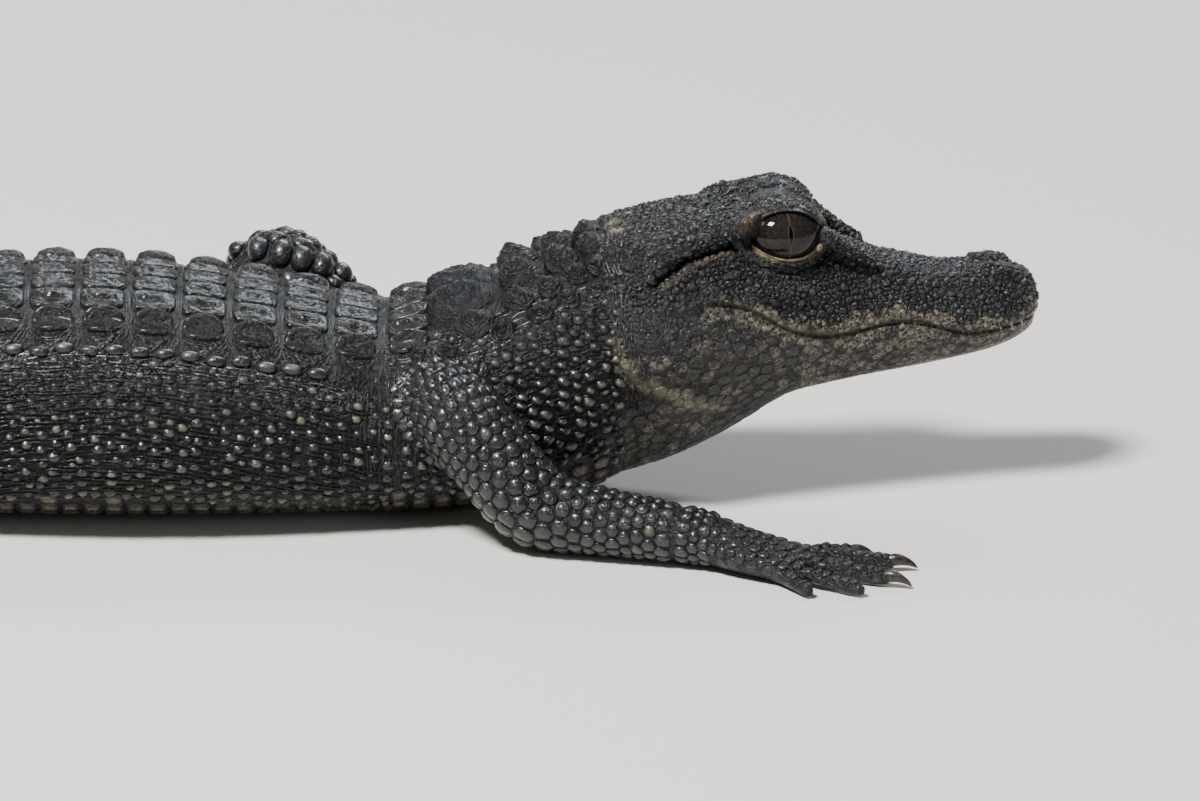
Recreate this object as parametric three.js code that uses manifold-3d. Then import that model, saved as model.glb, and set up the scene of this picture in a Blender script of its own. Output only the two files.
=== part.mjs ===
// A young American alligator at rest on its belly, life-size, about 0.6 m from snout to tail tip.
// Millimetres, +X towards the snout, +Y to the animal's left, +Z up. The origin lies on the floor under
// the middle of the belly. The body is shaped whole, then parted into named pieces by thin cuts.
import * as THREE from "three";
import { mergeVertices } from "three/addons/utils/BufferGeometryUtils.js";
import { ConvexGeometry } from "three/addons/geometries/ConvexGeometry.js";
import Module from "manifold-3d";

const wasm = await Module();
wasm.setup();

// Driving sizes
const HEAD_LENGTH = 85.4; // snout tip to the back of the skull table
const NECK_END = 101; // along the back, from the origin forward to the skull
const TAIL_ROOT = -83; // along the back, at the vent
const TAIL_TIP = -383;
const GAP = 0.3; // every cut between two pieces
const LID = 1.1; // thickness of the eyelids
const SCUTE_PITCH = 10; // along the back
const WHORL_PITCH = 7.9; // along the tail
const RIGHT = -1;
const LEFT = 1;

// Reading curves

// A smooth curve through [station, value] pairs, held level past its ends.
function through(pairs) {
  const slope = pairs.map((_, i) => {
    const before = pairs[Math.max(i - 1, 0)];
    const after = pairs[Math.min(i + 1, pairs.length - 1)];
    return (after[1] - before[1]) / (after[0] - before[0]);
  });
  const first = pairs[0][0];
  const last = pairs[pairs.length - 1][0];
  return (station) => {
    const x = THREE.MathUtils.clamp(station, first, last);
    const i = Math.max(1, pairs.findIndex((p) => p[0] >= x));
    const step = pairs[i][0] - pairs[i - 1][0];
    const t = (x - pairs[i - 1][0]) / step;
    const rise = t * t * (3 - 2 * t);
    const bend = slope[i - 1] * t * (1 - t) * (1 - t) - slope[i] * t * t * (1 - t);
    return pairs[i - 1][1] * (1 - rise) + pairs[i][1] * rise + step * bend;
  };
}

function spread(from, to, count) {
  return Array.from({ length: count + 1 }, (_, i) => from + ((to - from) * i) / count);
}

// Solids

function solid(geometry) {
  const bare = geometry.index ? geometry.toNonIndexed() : geometry;
  const position = new THREE.BufferGeometry().setAttribute("position", bare.getAttribute("position"));
  const merged = mergeVertices(position, 1e-4);
  const made = new wasm.Manifold(
    new wasm.Mesh({
      numProp: 3,
      vertProperties: new Float32Array(merged.attributes.position.array),
      triVerts: new Uint32Array(merged.index.array),
    }),
  );
  if (made.volume() < 0) throw new Error("a solid is inside out");
  return made;
}

function joined(solids) {
  return solids.reduce((whole, next) => whole.add(next));
}

// The largest closed surface of a solid: loose scraps and sealed hollows go.
function largest(made) {
  return made.decompose().reduce((best, s) => (s.volume() > best.volume() ? s : best));
}

// A closed tube: stations along it, and at each one a ring of points from place(station, angle).
// The two ends are closed by fans round the ring's own middle.
function tube(stations, around, place) {
  const cylinder = new THREE.CylinderGeometry(1, 1, 1, around, stations.length - 1);
  const position = cylinder.getAttribute("position");
  for (let i = 0; i < position.count; i++) {
    const [x, y, z] = [position.getX(i), position.getY(i), position.getZ(i)];
    const station = stations[Math.round((y + 0.5) * (stations.length - 1))];
    let p;
    if (Math.hypot(x, z) < 0.5) {
      p = place(station, 0).clone().add(place(station, Math.PI)).multiplyScalar(0.5);
    } else {
      p = place(station, Math.atan2(-x, z));
    }
    position.setXYZ(i, p.x, p.y, p.z);
  }
  return solid(cylinder);
}

// A round-cornered section: angle 0 at the top, a quarter turn at the left side.
function roundedSection(angle, half, low, wide, high, squareTop, squareBottom) {
  const up = Math.cos(angle) >= 0;
  const power = 2 / (up ? squareTop : squareBottom);
  const across = Math.sign(Math.sin(angle)) * Math.abs(Math.sin(angle)) ** power * half;
  const rise = Math.abs(Math.cos(angle)) ** power;
  return [across, up ? wide + (high - wide) * rise : wide - (wide - low) * rise];
}

// The midline of neck, trunk and tail, seen from above

const HEADING = through([
  [TAIL_TIP, 40], [-320, 22], [-270, 3], [-220, -11], [-160, -14], [-110, -7], [-70, 0],
  [60, 0], [85, 3], [NECK_END, 6],
]);
const MIDLINE_STEP = 1;
const midlineForward = [new THREE.Vector3()];
const midlineBack = [new THREE.Vector3()];
function stepAlong(points, from, step) {
  const heading = THREE.MathUtils.degToRad(HEADING(from + step / 2));
  const last = points[points.length - 1];
  points.push(new THREE.Vector3(last.x + step * Math.cos(heading), last.y + step * Math.sin(heading), 0));
}
for (let s = 0; s < NECK_END + 10; s += MIDLINE_STEP) stepAlong(midlineForward, s, MIDLINE_STEP);
for (let s = 0; s > TAIL_TIP - 10; s -= MIDLINE_STEP) stepAlong(midlineBack, s, -MIDLINE_STEP);

// The point on the floor under the midline at a station, with the directions forward and left.
function midline(s) {
  const points = s >= 0 ? midlineForward : midlineBack;
  const at = Math.abs(s) / MIDLINE_STEP;
  const i = Math.floor(at);
  const p = points[i].clone().lerp(points[i + 1], at - i);
  const heading = THREE.MathUtils.degToRad(HEADING(s));
  const forward = new THREE.Vector3(Math.cos(heading), Math.sin(heading), 0);
  const left = new THREE.Vector3(-Math.sin(heading), Math.cos(heading), 0);
  return { p, forward, left };
}

// Sizes along the midline: half width, height of the back, of the underside and of the widest line
const HALF_WIDTH = through([
  [TAIL_TIP, 0.9], [-340, 2.3], [-300, 3.7], [-250, 5.8], [-200, 8.4], [-150, 12.2], [-112, 16.5],
  [-87, 21.5], [-66, 27], [-45, 31.5], [-20, 35.5], [5, 37], [30, 35], [50, 31.5], [65, 29], [78, 26.5],
  [90, 24.5], [98, 22.5], [108, 15],
]);
const BACK_HEIGHT = through([
  [TAIL_TIP, 2.4], [-340, 7], [-300, 11], [-250, 15.5], [-200, 20], [-150, 24.5], [-112, 28.5],
  [-87, 33], [-66, 38], [-45, 42], [-20, 45], [5, 44.8], [25, 42.4], [45, 39], [55, 37.4], [63, 39.7],
  [72, 42.2], [82, 47], [92, 49.8], [98, 50], [108, 42],
]);
const UNDERSIDE = through([[78, 0], [88, 1], [96, 3], [102, 6], [108, 14]]);
const WIDE_SHARE = through([[TAIL_TIP, 0.45], [-150, 0.42], [-60, 0.4], [60, 0.42], [90, 0.5], [112, 0.55]]);
const FLAT_DEPTH = 1.2; // how far the round underside is pressed flat by the floor
const TRUNK_SQUARE = 2.35;
const BELLY_SQUARE = 2.2;
const BODY_SIDES = 24;
const TAIL_SIDES = 16;

function onBody(s, angle, clearance = 0) {
  const { p, left } = midline(s);
  const high = BACK_HEIGHT(s);
  const low = UNDERSIDE(s);
  const wide = low + (high - low) * WIDE_SHARE(s);
  const sunk = low - Math.min(FLAT_DEPTH, high / 8);
  const [across, up] = roundedSection(
    angle, HALF_WIDTH(s) + clearance, sunk - clearance, wide, high + clearance, TRUNK_SQUARE, BELLY_SQUARE,
  );
  return p.clone().addScaledVector(left, across).setZ(Math.max(up, low - clearance));
}

// The outward direction of the body's surface, from its neighbours on both lines.
function bodyNormal(s, angle) {
  const along = onBody(s + 1, angle).sub(onBody(s - 1, angle));
  const round = onBody(s, angle + 0.05).sub(onBody(s, angle - 0.05));
  return round.cross(along).normalize();
}

const TAIL_CUTS = [TAIL_ROOT - 4, -185, -286];
const tailStations = [...spread(TAIL_TIP, -300, 6), ...spread(-300, TAIL_CUTS[0], 15).slice(1), TAIL_ROOT];
const trunkStations = [TAIL_CUTS[0] - 3, ...spread(TAIL_ROOT, NECK_END + 6, 19)];
const bodyCore = tube(tailStations, TAIL_SIDES, onBody).add(tube(trunkStations, BODY_SIDES, onBody));
const roundBody = tube(trunkStations, BODY_SIDES, (s, angle) => onBody(s, angle, GAP));

// The head, in its own frame: +X from the back of the skull table to the snout, then turned into place

const HEAD_YAW = 8;
const HEAD_PITCH = 2;
const HEAD_ORIGIN = new THREE.Vector3(99, 0.5, 38);
const headFrame = new THREE.Matrix4()
  .makeTranslation(HEAD_ORIGIN)
  .multiply(new THREE.Matrix4().makeRotationZ(THREE.MathUtils.degToRad(HEAD_YAW)))
  .multiply(new THREE.Matrix4().makeRotationY(THREE.MathUtils.degToRad(-HEAD_PITCH)));

// Each row is a station, then the height of the top, the half width and height of the top's edge, the
// same of the cheek, of the lip where the head is widest and of the jaw's lower corner, and the underside.
const HEAD_ROWS = [
  [-9, 9.6, 8, 8.6, 12, 2, 15, -8, 12, -16, -22],
  [-2, 15.2, 10.5, 14, 16, 7.6, 21.5, -4.5, 17, -19.5, -32],
  [6, 17.4, 12.4, 16.2, 17, 10, 23.6, -4, 17.2, -19.5, -31.8],
  [16, 18.6, 12.6, 17.6, 17.2, 10, 22.4, -3.5, 16, -18, -28.6],
  [25, 19.2, 10.5, 17.8, 16.8, 7.5, 20.2, -4, 14.4, -16.6, -24.4],
  [34, 17.2, 8.6, 15.6, 15.6, 4.6, 18.3, -4.5, 13, -15.4, -19.4],
  [42, 13, 7.6, 11.6, 13.6, 3.2, 16.5, -5.2, 11.8, -14.6, -18],
  [50, 8.8, 6.6, 7.6, 11.9, 1.4, 14.9, -5.8, 10.9, -13.8, -17],
  [58, 6, 6.4, 5.2, 11, 0.2, 13.6, -6.2, 10.2, -13.2, -16.2],
  [66, 3.8, 6.4, 3.2, 10.4, -0.9, 12.8, -6.8, 9.6, -12.6, -15.2],
  [72, 3.2, 6.8, 2.6, 10.3, -1.2, 12.4, -7, 9.2, -12, -14.2],
  [77, 3.2, 6.4, 2.4, 9.6, -1.2, 11.4, -6.4, 8.2, -11.2, -13.2],
  [81, 2.4, 5.2, 1.4, 7.9, -1.4, 9.4, -5.6, 6.6, -10, -11.8],
  [84, 0.6, 3.6, 0, 5.4, -1.8, 6.4, -5, 4.6, -8.4, -9.8],
  [HEAD_LENGTH, -2.2, 1.2, -2.5, 1.9, -3.2, 2.2, -4.4, 1.5, -5.6, -6.2],
];
const headCurve = HEAD_ROWS[0].slice(1).map((_, column) => through(HEAD_ROWS.map((row) => [row[0], row[column + 1]])));
const HEAD_SIDES = 28;
const headRings = new Map();

function headRing(x) {
  if (!headRings.has(x)) {
    const [top, edgeY, edgeZ, cheekY, cheekZ, lipY, lipZ, cornerY, cornerZ, under] = headCurve.map((f) => f(x));
    const half = [
      [edgeY * 0.55, top],
      [edgeY, edgeZ],
      [cheekY, cheekZ],
      [lipY, lipZ],
      [cornerY, cornerZ],
      [cornerY * 0.5, under * 0.9 + cornerZ * 0.1],
    ];
    const points = [
      [0, top],
      ...half,
      [0, under],
      ...half.toReversed().map(([y, z]) => [-y, z]),
    ].map(([y, z]) => new THREE.Vector3(x, y, z));
    headRings.set(x, new THREE.CatmullRomCurve3(points, true, "centripetal"));
  }
  return headRings.get(x);
}

function onHead(x, angle) {
  const turn = angle / (2 * Math.PI);
  return headRing(x).getPoint(turn - Math.floor(turn));
}

const headStations = [...spread(-9, 74, 18), 77, 79.5, 82, 83.8, 85.2, HEAD_LENGTH];
const headCore = tube(headStations, HEAD_SIDES, onHead);

const EYE_CENTRE = new THREE.Vector3(33.8, 8, 14.8);
const EYE_LOOK = new THREE.Vector3(0.12, 0.96, 0.24).normalize();
const EYE_SIZE = new THREE.Vector3(7.8, 7, 6); // half sizes of the eyeball
const EYE_OPENING = [7.1, 4.6]; // half length and half height between the lids
// The opening is cut by a funnel along the eye's look, its ends as shares of EYE_OPENING.
const FUNNEL = { outer: 1.3, inner: 0.8, from: 2.5, to: 12.5, sides: 18 };

function mirroredY(v, side) {
  return new THREE.Vector3(v.x, v.y * side, v.z);
}

function ball(radius, detail) {
  return new THREE.IcosahedronGeometry(radius, detail);
}

// An egg shape round a point, from its three half sizes.
function egg(centre, half, detail) {
  return solid(ball(1, detail).scale(half.x, half.y, half.z).translate(centre.x, centre.y, centre.z));
}

// A matrix that carries +Z to a direction and the origin to a point.
function aimed(point, direction) {
  const turn = new THREE.Quaternion().setFromUnitVectors(new THREE.Vector3(0, 0, 1), direction.clone().normalize());
  return new THREE.Matrix4().compose(point, turn, new THREE.Vector3(1, 1, 1));
}

function eyeAt(side) {
  const centre = mirroredY(EYE_CENTRE, side);
  const look = mirroredY(EYE_LOOK, side);
  const eyeball = (extra) => egg(centre, EYE_SIZE.clone().addScalar(extra), 2);
  const opening = new THREE.CylinderGeometry(FUNNEL.outer, FUNNEL.inner, FUNNEL.to - FUNNEL.from, FUNNEL.sides)
    .rotateX(Math.PI / 2)
    .translate(0, 0, (FUNNEL.from + FUNNEL.to) / 2)
    .scale(EYE_OPENING[0], EYE_OPENING[1], 1);
  // The long side of the opening lies along the head.
  const across = new THREE.Vector3(1, 0, 0).addScaledVector(look, -look.x).normalize();
  const upward = look.clone().cross(across);
  const basis = new THREE.Matrix4().makeBasis(across, upward, look).setPosition(centre);
  return {
    lids: eyeball(GAP + LID),
    opening: solid(opening.applyMatrix4(basis)),
    socket: eyeball(GAP),
    eye: eyeball(0),
  };
}

const eyes = { left: eyeAt(LEFT), right: eyeAt(RIGHT) };

// Nostrils: an egg-shaped swelling on each side of the snout's end, with a pit in its top
const NOSTRIL_BUMP = { centre: new THREE.Vector3(76, 3.5, 1.9), half: new THREE.Vector3(4.4, 3.2, 2) };
const NOSTRIL_PIT = { centre: new THREE.Vector3(76, 3.5, 4.1), half: new THREE.Vector3(1.3, 0.8, 1.3) };
function nostril({ centre, half }, side) {
  return egg(mirroredY(centre, side), half, 1);
}

// The ear slit runs back from behind the eye, under the edge of the skull table.
const EAR_SLIT = { length: 19, depth: 3, height: 0.9, slope: 24, middle: new THREE.Vector3(14.5, 18, 10.2) };
function earSlit(side) {
  const slit = new THREE.BoxGeometry(EAR_SLIT.length, EAR_SLIT.depth, EAR_SLIT.height);
  slit.rotateY(THREE.MathUtils.degToRad(EAR_SLIT.slope));
  return solid(slit.translate(...mirroredY(EAR_SLIT.middle, side).toArray()));
}

const MOUTH_LINE = through([
  [-12, 2], [6, 2.6], [14, 4.2], [19, 4.6], [24, 3.4], [29, 0.6], [34, -2.4], [40, -4.2], [46, -4.4],
  [52, -3.8], [58, -4], [63, -5.4], [68, -7], [73, -7.6], [79, -7.2], [85, -6.6], [90, -6.6],
]);
const MOUTH_GAP = 0.35;
const MOUTH_BACK = -14;
const MOUTH_SPANS = 42;
const WIDER_THAN_HEAD = 70;

function mouthSlit() {
  const stations = spread(MOUTH_BACK, HEAD_LENGTH + 4, MOUTH_SPANS);
  const outline = [
    ...stations.map((x) => new THREE.Vector2(x, MOUTH_LINE(x) + MOUTH_GAP / 2)),
    ...stations.toReversed().map((x) => new THREE.Vector2(x, MOUTH_LINE(x) - MOUTH_GAP / 2)),
  ];
  const strip = new THREE.ExtrudeGeometry(new THREE.Shape(outline), { depth: WIDER_THAN_HEAD, bevelEnabled: false });
  return solid(strip.rotateX(Math.PI / 2).translate(0, WIDER_THAN_HEAD / 2, 0));
}

const headWhole = joined([
  headCore, eyes.left.lids, eyes.right.lids, nostril(NOSTRIL_BUMP, LEFT), nostril(NOSTRIL_BUMP, RIGHT),
])
  .subtract(joined([
    eyes.left.opening, eyes.right.opening, eyes.left.socket, eyes.right.socket,
    nostril(NOSTRIL_PIT, LEFT), nostril(NOSTRIL_PIT, RIGHT), earSlit(LEFT), earSlit(RIGHT),
  ]));

function placed(made, matrix) {
  return made.transform(matrix.elements);
}

// Legs: a tube along a bent line, each point with its own radius

const LEG_SIDES = 12;
function legTube(points, sides, perSpan) {
  const line = new THREE.CatmullRomCurve3(points.map((p) => new THREE.Vector3(p[0], p[1], p[2])), false, "centripetal");
  const last = points.length - 1;
  const wideAt = through(points.map((p, i) => [i / last, p[3]]));
  const deepAt = through(points.map((p, i) => [i / last, p[4] ?? p[3]]));
  const place = (t, angle) => {
    const tangent = line.getTangent(t);
    const side = new THREE.Vector3(0, 0, 1).cross(tangent).normalize();
    const up = tangent.clone().cross(side);
    const p = line.getPoint(t)
      .addScaledVector(side, Math.sin(angle) * wideAt(t))
      .addScaledVector(up, Math.cos(angle) * deepAt(t));
    return p.setZ(Math.max(p.z, 0));
  };
  return tube(spread(0, 1, last * perSpan), sides, place);
}

// Feet: a flat palm and its toes, fanned round the way that the foot points

// The palm from the ankle on: place as a share of its length, height and half thickness as shares of its
// thickness, half width as a share of its width.
const PALM_SHAPE = [[0.45, 0.62, 0.42, 0.66], [1, 0.42, 0.5, 0.5], [1.24, 0.32, 0.4, 0.36]];
// A toe: place as a share of its length, height and radius as shares of its radius.
const TOE_SHAPE = [[0, 1.1, 1], [0.45, 1.2, 1], [1, 0.75, 0.72]];
const TOE_SIDES = 7;
const TOE_ROOT = 2; // sunk in the palm
const CLAW_SHAPE = { height: 0.85, radius: 0.62, droop: 0.16 }; // shares of the toe's radius, and its slope
const WEB = { root: 0.05, under: 0.6, over: 1.7, dip: 0.6 };

function footParts({ ankle, heading, side, palm, toes, web }) {
  const ahead = (degrees) => {
    const a = THREE.MathUtils.degToRad(heading - side * degrees);
    return new THREE.Vector3(Math.cos(a), Math.sin(a), 0);
  };
  const forward = ahead(0);
  const across = ahead(90);
  const ground = new THREE.Vector3(ankle.x, ankle.y, 0);
  const knuckle = ground.clone().addScaledVector(forward, palm.length);
  const flesh = [
    legTube([
      [ankle.x, ankle.y, ankle.z, ankle.radius],
      ...PALM_SHAPE.map(([share, height, half, deep]) => {
        const place = ground.clone().addScaledVector(forward, palm.length * share).setZ(palm.thick * height);
        return [...place.toArray(), palm.width * half, palm.thick * deep];
      }),
    ], LEG_SIDES, 1),
  ];
  const claws = [];
  const toeLines = toes.map(({ fan, length, radius, offset, claw }) => {
    const direction = ahead(fan);
    const root = knuckle.clone().addScaledVector(across, offset * palm.width).addScaledVector(direction, -TOE_ROOT);
    const at = (share, height) => root.clone().addScaledVector(direction, length * share).setZ(height);
    const line = TOE_SHAPE.map(([share, height, wide]) => [...at(share, radius * height).toArray(), radius * wide]);
    flesh.push(legTube(line, TOE_SIDES, 1));
    if (claw) {
      const droop = direction.clone().setZ(-CLAW_SHAPE.droop).normalize();
      const start = at(1, radius * CLAW_SHAPE.height).addScaledVector(direction, GAP);
      const cone = new THREE.ConeGeometry(radius * CLAW_SHAPE.radius, claw, TOE_SIDES, 1);
      cone.translate(0, claw / 2, 0).rotateX(Math.PI / 2);
      claws.push(solid(cone.applyMatrix4(aimed(start, droop))));
    }
    return at;
  });
  for (let i = 0; web && i + 1 < toeLines.length; i++) {
    const corners = [toeLines[i], toeLines[i + 1]].flatMap((toe) => [WEB.root, web].flatMap((share) => [
      toe(share, WEB.under), toe(share, WEB.over),
    ]));
    const middle = toeLines[i](web * WEB.dip, 0).add(toeLines[i + 1](web * WEB.dip, 0)).multiplyScalar(0.5);
    corners.push(middle.clone().setZ(WEB.under), middle.clone().setZ(WEB.over));
    flesh.push(solid(new ConvexGeometry(corners)));
  }
  return { flesh: joined(flesh), claws };
}

// Toes from the inner one outward: fan angle, length, radius, place across the palm, claw length
const FORE_TOES = [
  { fan: 40, length: 13, radius: 2.1, offset: 0.4, claw: 4 },
  { fan: 20, length: 21, radius: 2.2, offset: 0.24, claw: 4.4 },
  { fan: 1, length: 22.5, radius: 2.2, offset: 0.02, claw: 4.4 },
  { fan: -12, length: 20.5, radius: 1.9, offset: -0.22 },
  { fan: -34, length: 12.5, radius: 1.8, offset: -0.38 },
];
const HIND_TOES = [
  { fan: 24, length: 17, radius: 2.4, offset: 0.34, claw: 5 },
  { fan: 8, length: 23, radius: 2.5, offset: 0.13, claw: 5.2 },
  { fan: -8, length: 25, radius: 2.4, offset: -0.12, claw: 5.2 },
  { fan: -26, length: 22, radius: 2, offset: -0.34 },
];
const FORE_PALM = { length: 17, width: 16, thick: 6.4 };
const HIND_PALM = { length: 21, width: 16, thick: 7 };

// A thin plate that parts a limb at a joint, set halfway between the ways in and out of it.
const CUT_SIZE = 44;
function mitre(before, joint, after) {
  const way = joint.clone().sub(before).normalize().add(after.clone().sub(joint).normalize());
  const plate = new THREE.BoxGeometry(CUT_SIZE, CUT_SIZE, GAP);
  return solid(plate.applyMatrix4(aimed(joint, way)));
}

function vector(p) {
  return new THREE.Vector3(p[0], p[1], p[2]);
}

// Each leg: its joints from the body out, with the limb's radius across and up at each
const LEGS = [
  {
    name: "foreleg_right", foot: "forefoot_right", side: RIGHT,
    line: [
      [64, -16, 26, 9], [69, -27.5, 24.5, 9, 9.6], [76.5, -33.5, 17, 8.2, 8.8], [84.5, -37.5, 9, 7.8, 8.2],
      [95, -40.5, 7.2, 7, 7], [108, -44.5, 6.4, 6, 6.2], [118.5, -47.5, 5.6, 5.4, 5.6],
    ],
    heading: -21, palm: FORE_PALM, toes: FORE_TOES, web: 0,
  },
  {
    name: "foreleg_left", foot: "forefoot_left", side: LEFT,
    line: [
      [62, 16, 24, 9], [55.5, 27.5, 21.5, 8.6, 9], [45.5, 38.5, 22.5, 8, 8.4], [33.5, 47, 30.2, 9.4, 9],
      [28.5, 55, 22.5, 7.6, 7.8], [36, 63, 12, 6.2, 6.4], [43, 67.5, 6, 5.4, 5.6],
    ],
    heading: 18, palm: FORE_PALM, toes: FORE_TOES, web: 0,
  },
  {
    name: "hindleg_right", foot: "hindfoot_right", side: RIGHT,
    line: [
      [-70, -14, 20, 12], [-65, -30, 20.5, 12, 12.5], [-57, -43, 20.5, 10.5, 11], [-51, -53, 19.5, 9, 9.5],
      [-61, -58, 14.5, 8.2, 8.2], [-73, -60.5, 9.5, 6.6, 6.8], [-81, -61.5, 6.6, 6, 6],
    ],
    heading: -46, palm: HIND_PALM, toes: HIND_TOES, web: 0.5,
  },
  {
    name: "hindleg_left", foot: "hindfoot_left", side: LEFT,
    line: [
      [-69, 12, 20, 12], [-62, 28, 20.8, 12, 12.4], [-50, 40.5, 21, 10.6, 11.1], [-39, 48, 20.5, 9, 9.5],
      [-48, 54.5, 15.5, 8.2, 8.2], [-61, 58.5, 10, 6.6, 6.8], [-70, 60, 6.6, 6, 6],
    ],
    heading: 34, palm: HIND_PALM, toes: HIND_TOES, web: 0.5,
  },
];

for (const leg of LEGS) {
  leg.flesh = legTube(leg.line, LEG_SIDES, 2);
  const end = leg.line[leg.line.length - 1];
  leg.paw = footParts({
    ankle: { x: end[0], y: end[1], z: end[2], radius: end[3] },
    heading: leg.heading, side: leg.side, palm: leg.palm, toes: leg.toes, web: leg.web,
  });
  const a = THREE.MathUtils.degToRad(leg.heading);
  leg.paw.forward = new THREE.Vector3(Math.cos(a), Math.sin(a), 0);
}

// Scutes: a keeled plate with its roots sunk in the skin, highest near the back end of its keel
const SCUTE_ROOT = 1.2;
function scute(point, forward, normal, length, width, height) {
  const side = normal.clone().cross(forward).normalize();
  const ahead = side.clone().cross(normal).normalize();
  const at = (x, y, z) => point.clone().addScaledVector(ahead, x).addScaledVector(side, y).addScaledVector(normal, z);
  const [l, w] = [length / 2, width / 2];
  return solid(new ConvexGeometry([
    at(l, w * 0.86, -SCUTE_ROOT), at(l, -w * 0.86, -SCUTE_ROOT),
    at(-l, w, -SCUTE_ROOT), at(-l, -w, -SCUTE_ROOT),
    at(l * 0.7, 0, height * 0.6), at(-l * 0.62, 0, height),
    at(-l * 0.5, w * 0.66, height * 0.42), at(-l * 0.5, -w * 0.66, height * 0.42),
  ]));
}

function scuteOnBody(s, angle, length, width, height) {
  return scute(onBody(s, angle), midline(s).forward, bodyNormal(s, angle), length, width, height);
}

// The turn round the body, from the top of the back, that lies a given way across the surface.
function angleAcross(s, distance) {
  let angle = 0;
  let gone = 0;
  const step = 0.02;
  let last = onBody(s, 0);
  while (gone < distance && angle < Math.PI / 2) {
    angle += step;
    const next = onBody(s, angle);
    gone += next.distanceTo(last);
    last = next;
  }
  return angle;
}

// Back rows: three plates on each side of the spine, the outer one keeled most, then a small oval one
const scutes = [];
const BACK_ROWS = 15;
const FIRST_ROW = 59.5; // station of the row over the shoulders
const PLATE_WIDTH = through([[-95, 5], [-60, 6.6], [-20, 7.8], [30, 7.8], [60, 6.4]]);
const PLATE_HEIGHTS = [1.7, 1.9, 2.7];
const PLATES_EACH_SIDE = through([[-95, 2], [-75, 2.6], [-50, 3], [60, 3]]);
const OVAL = { length: 6, width: 4.6, height: 1.5, from: -58, to: 42, across: 3.95 };
for (let row = 0; row < BACK_ROWS; row++) {
  const s = FIRST_ROW - row * SCUTE_PITCH;
  const wide = PLATE_WIDTH(s);
  const plates = Math.round(PLATES_EACH_SIDE(s));
  for (const side of [LEFT, RIGHT]) {
    for (let column = 0; column < plates; column++) {
      const angle = angleAcross(s, wide * (column + 0.5)) * side;
      scutes.push(scuteOnBody(s, angle, SCUTE_PITCH * 0.97, wide * 0.97, PLATE_HEIGHTS[column]));
    }
    if (s > OVAL.from && s < OVAL.to) {
      const angle = angleAcross(s, wide * OVAL.across) * side;
      scutes.push(scuteOnBody(s, angle, OVAL.length, OVAL.width, OVAL.height));
    }
  }
}

// Nape: two pairs of large shield scutes, smaller ones beside and in front of them
const NAPE = [
  { s: 68.5, across: 6, length: 13, width: 11, height: 4.8 },
  { s: 70, across: 15, length: 8.4, width: 7.4, height: 3.2 },
  { s: 80.5, across: 5.6, length: 9.4, width: 10, height: 3.8 },
  { s: 80, across: 14.2, length: 7.6, width: 6.8, height: 3 },
  { s: 91, across: 4.6, length: 9, width: 8.4, height: 3.6 },
  { s: 90.5, across: 12.6, length: 7, width: 6.4, height: 2.8 },
];
for (const plate of NAPE) {
  const angle = angleAcross(plate.s, plate.across);
  for (const side of [LEFT, RIGHT]) {
    scutes.push(scuteOnBody(plate.s, angle * side, plate.length, plate.width, plate.height));
  }
}

// Tail: two crests that draw together and go on as one, higher at mid-tail, each tooth swept back
const CREST_JOINS = -232;
const CREST_HEIGHT = through([[-375, 1.8], [-340, 4.2], [-280, 6], [CREST_JOINS, 6], [-180, 4.4], [-130, 3], [-90, 2]]);
const CREST_SPREAD = through([[CREST_JOINS, 0.22], [-190, 0.5], [-140, 0.66], [-90, 0.7]]);

const CREST_LEAN = 0.3; // outward, where there are two crests
function crestTooth(s, angle, lean) {
  const point = onBody(s, angle);
  const { forward, left } = midline(s);
  const up = new THREE.Vector3(0, 0, 1).addScaledVector(left, lean).normalize();
  const at = (x, y, z) => point.clone().addScaledVector(forward, x).addScaledVector(left, y).addScaledVector(up, z);
  const high = CREST_HEIGHT(s);
  const half = WHORL_PITCH * 0.49;
  const thick = Math.min(1.1 + high * 0.12, HALF_WIDTH(s) * 0.7);
  const root = -Math.min(1.6, BACK_HEIGHT(s) * 0.3);
  return solid(new ConvexGeometry([
    at(half, thick, root), at(half, -thick, root), at(-half, thick, root), at(-half, -thick, root),
    at(-half * 0.5, 0, high), at(-half * 1.08, 0, high * 0.84),
  ]));
}

for (let s = TAIL_ROOT - 8; s > TAIL_TIP + 8; s -= WHORL_PITCH) {
  if (s > CREST_JOINS) {
    for (const side of [LEFT, RIGHT]) scutes.push(crestTooth(s, CREST_SPREAD(s) * side, CREST_LEAN * side));
  } else {
    scutes.push(crestTooth(s, 0, 0));
  }
}

// Join everything, then part it

const animal = joined([bodyCore, placed(headWhole, headFrame), ...scutes]);

const CUT_MARGIN = 3; // that a cut reaches past the body
const TALLEST_SCUTE = 9;
function bodyCut(s) {
  const { p, forward } = midline(s);
  const high = BACK_HEIGHT(s) + TALLEST_SCUTE + CUT_MARGIN;
  const slab = new THREE.BoxGeometry(GAP, (HALF_WIDTH(s) + CUT_MARGIN) * 2, high + CUT_MARGIN);
  const turn = new THREE.Matrix4().makeRotationZ(Math.atan2(forward.y, forward.x)).setPosition(p.x, p.y, high / 2);
  return solid(slab.applyMatrix4(turn));
}

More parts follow.
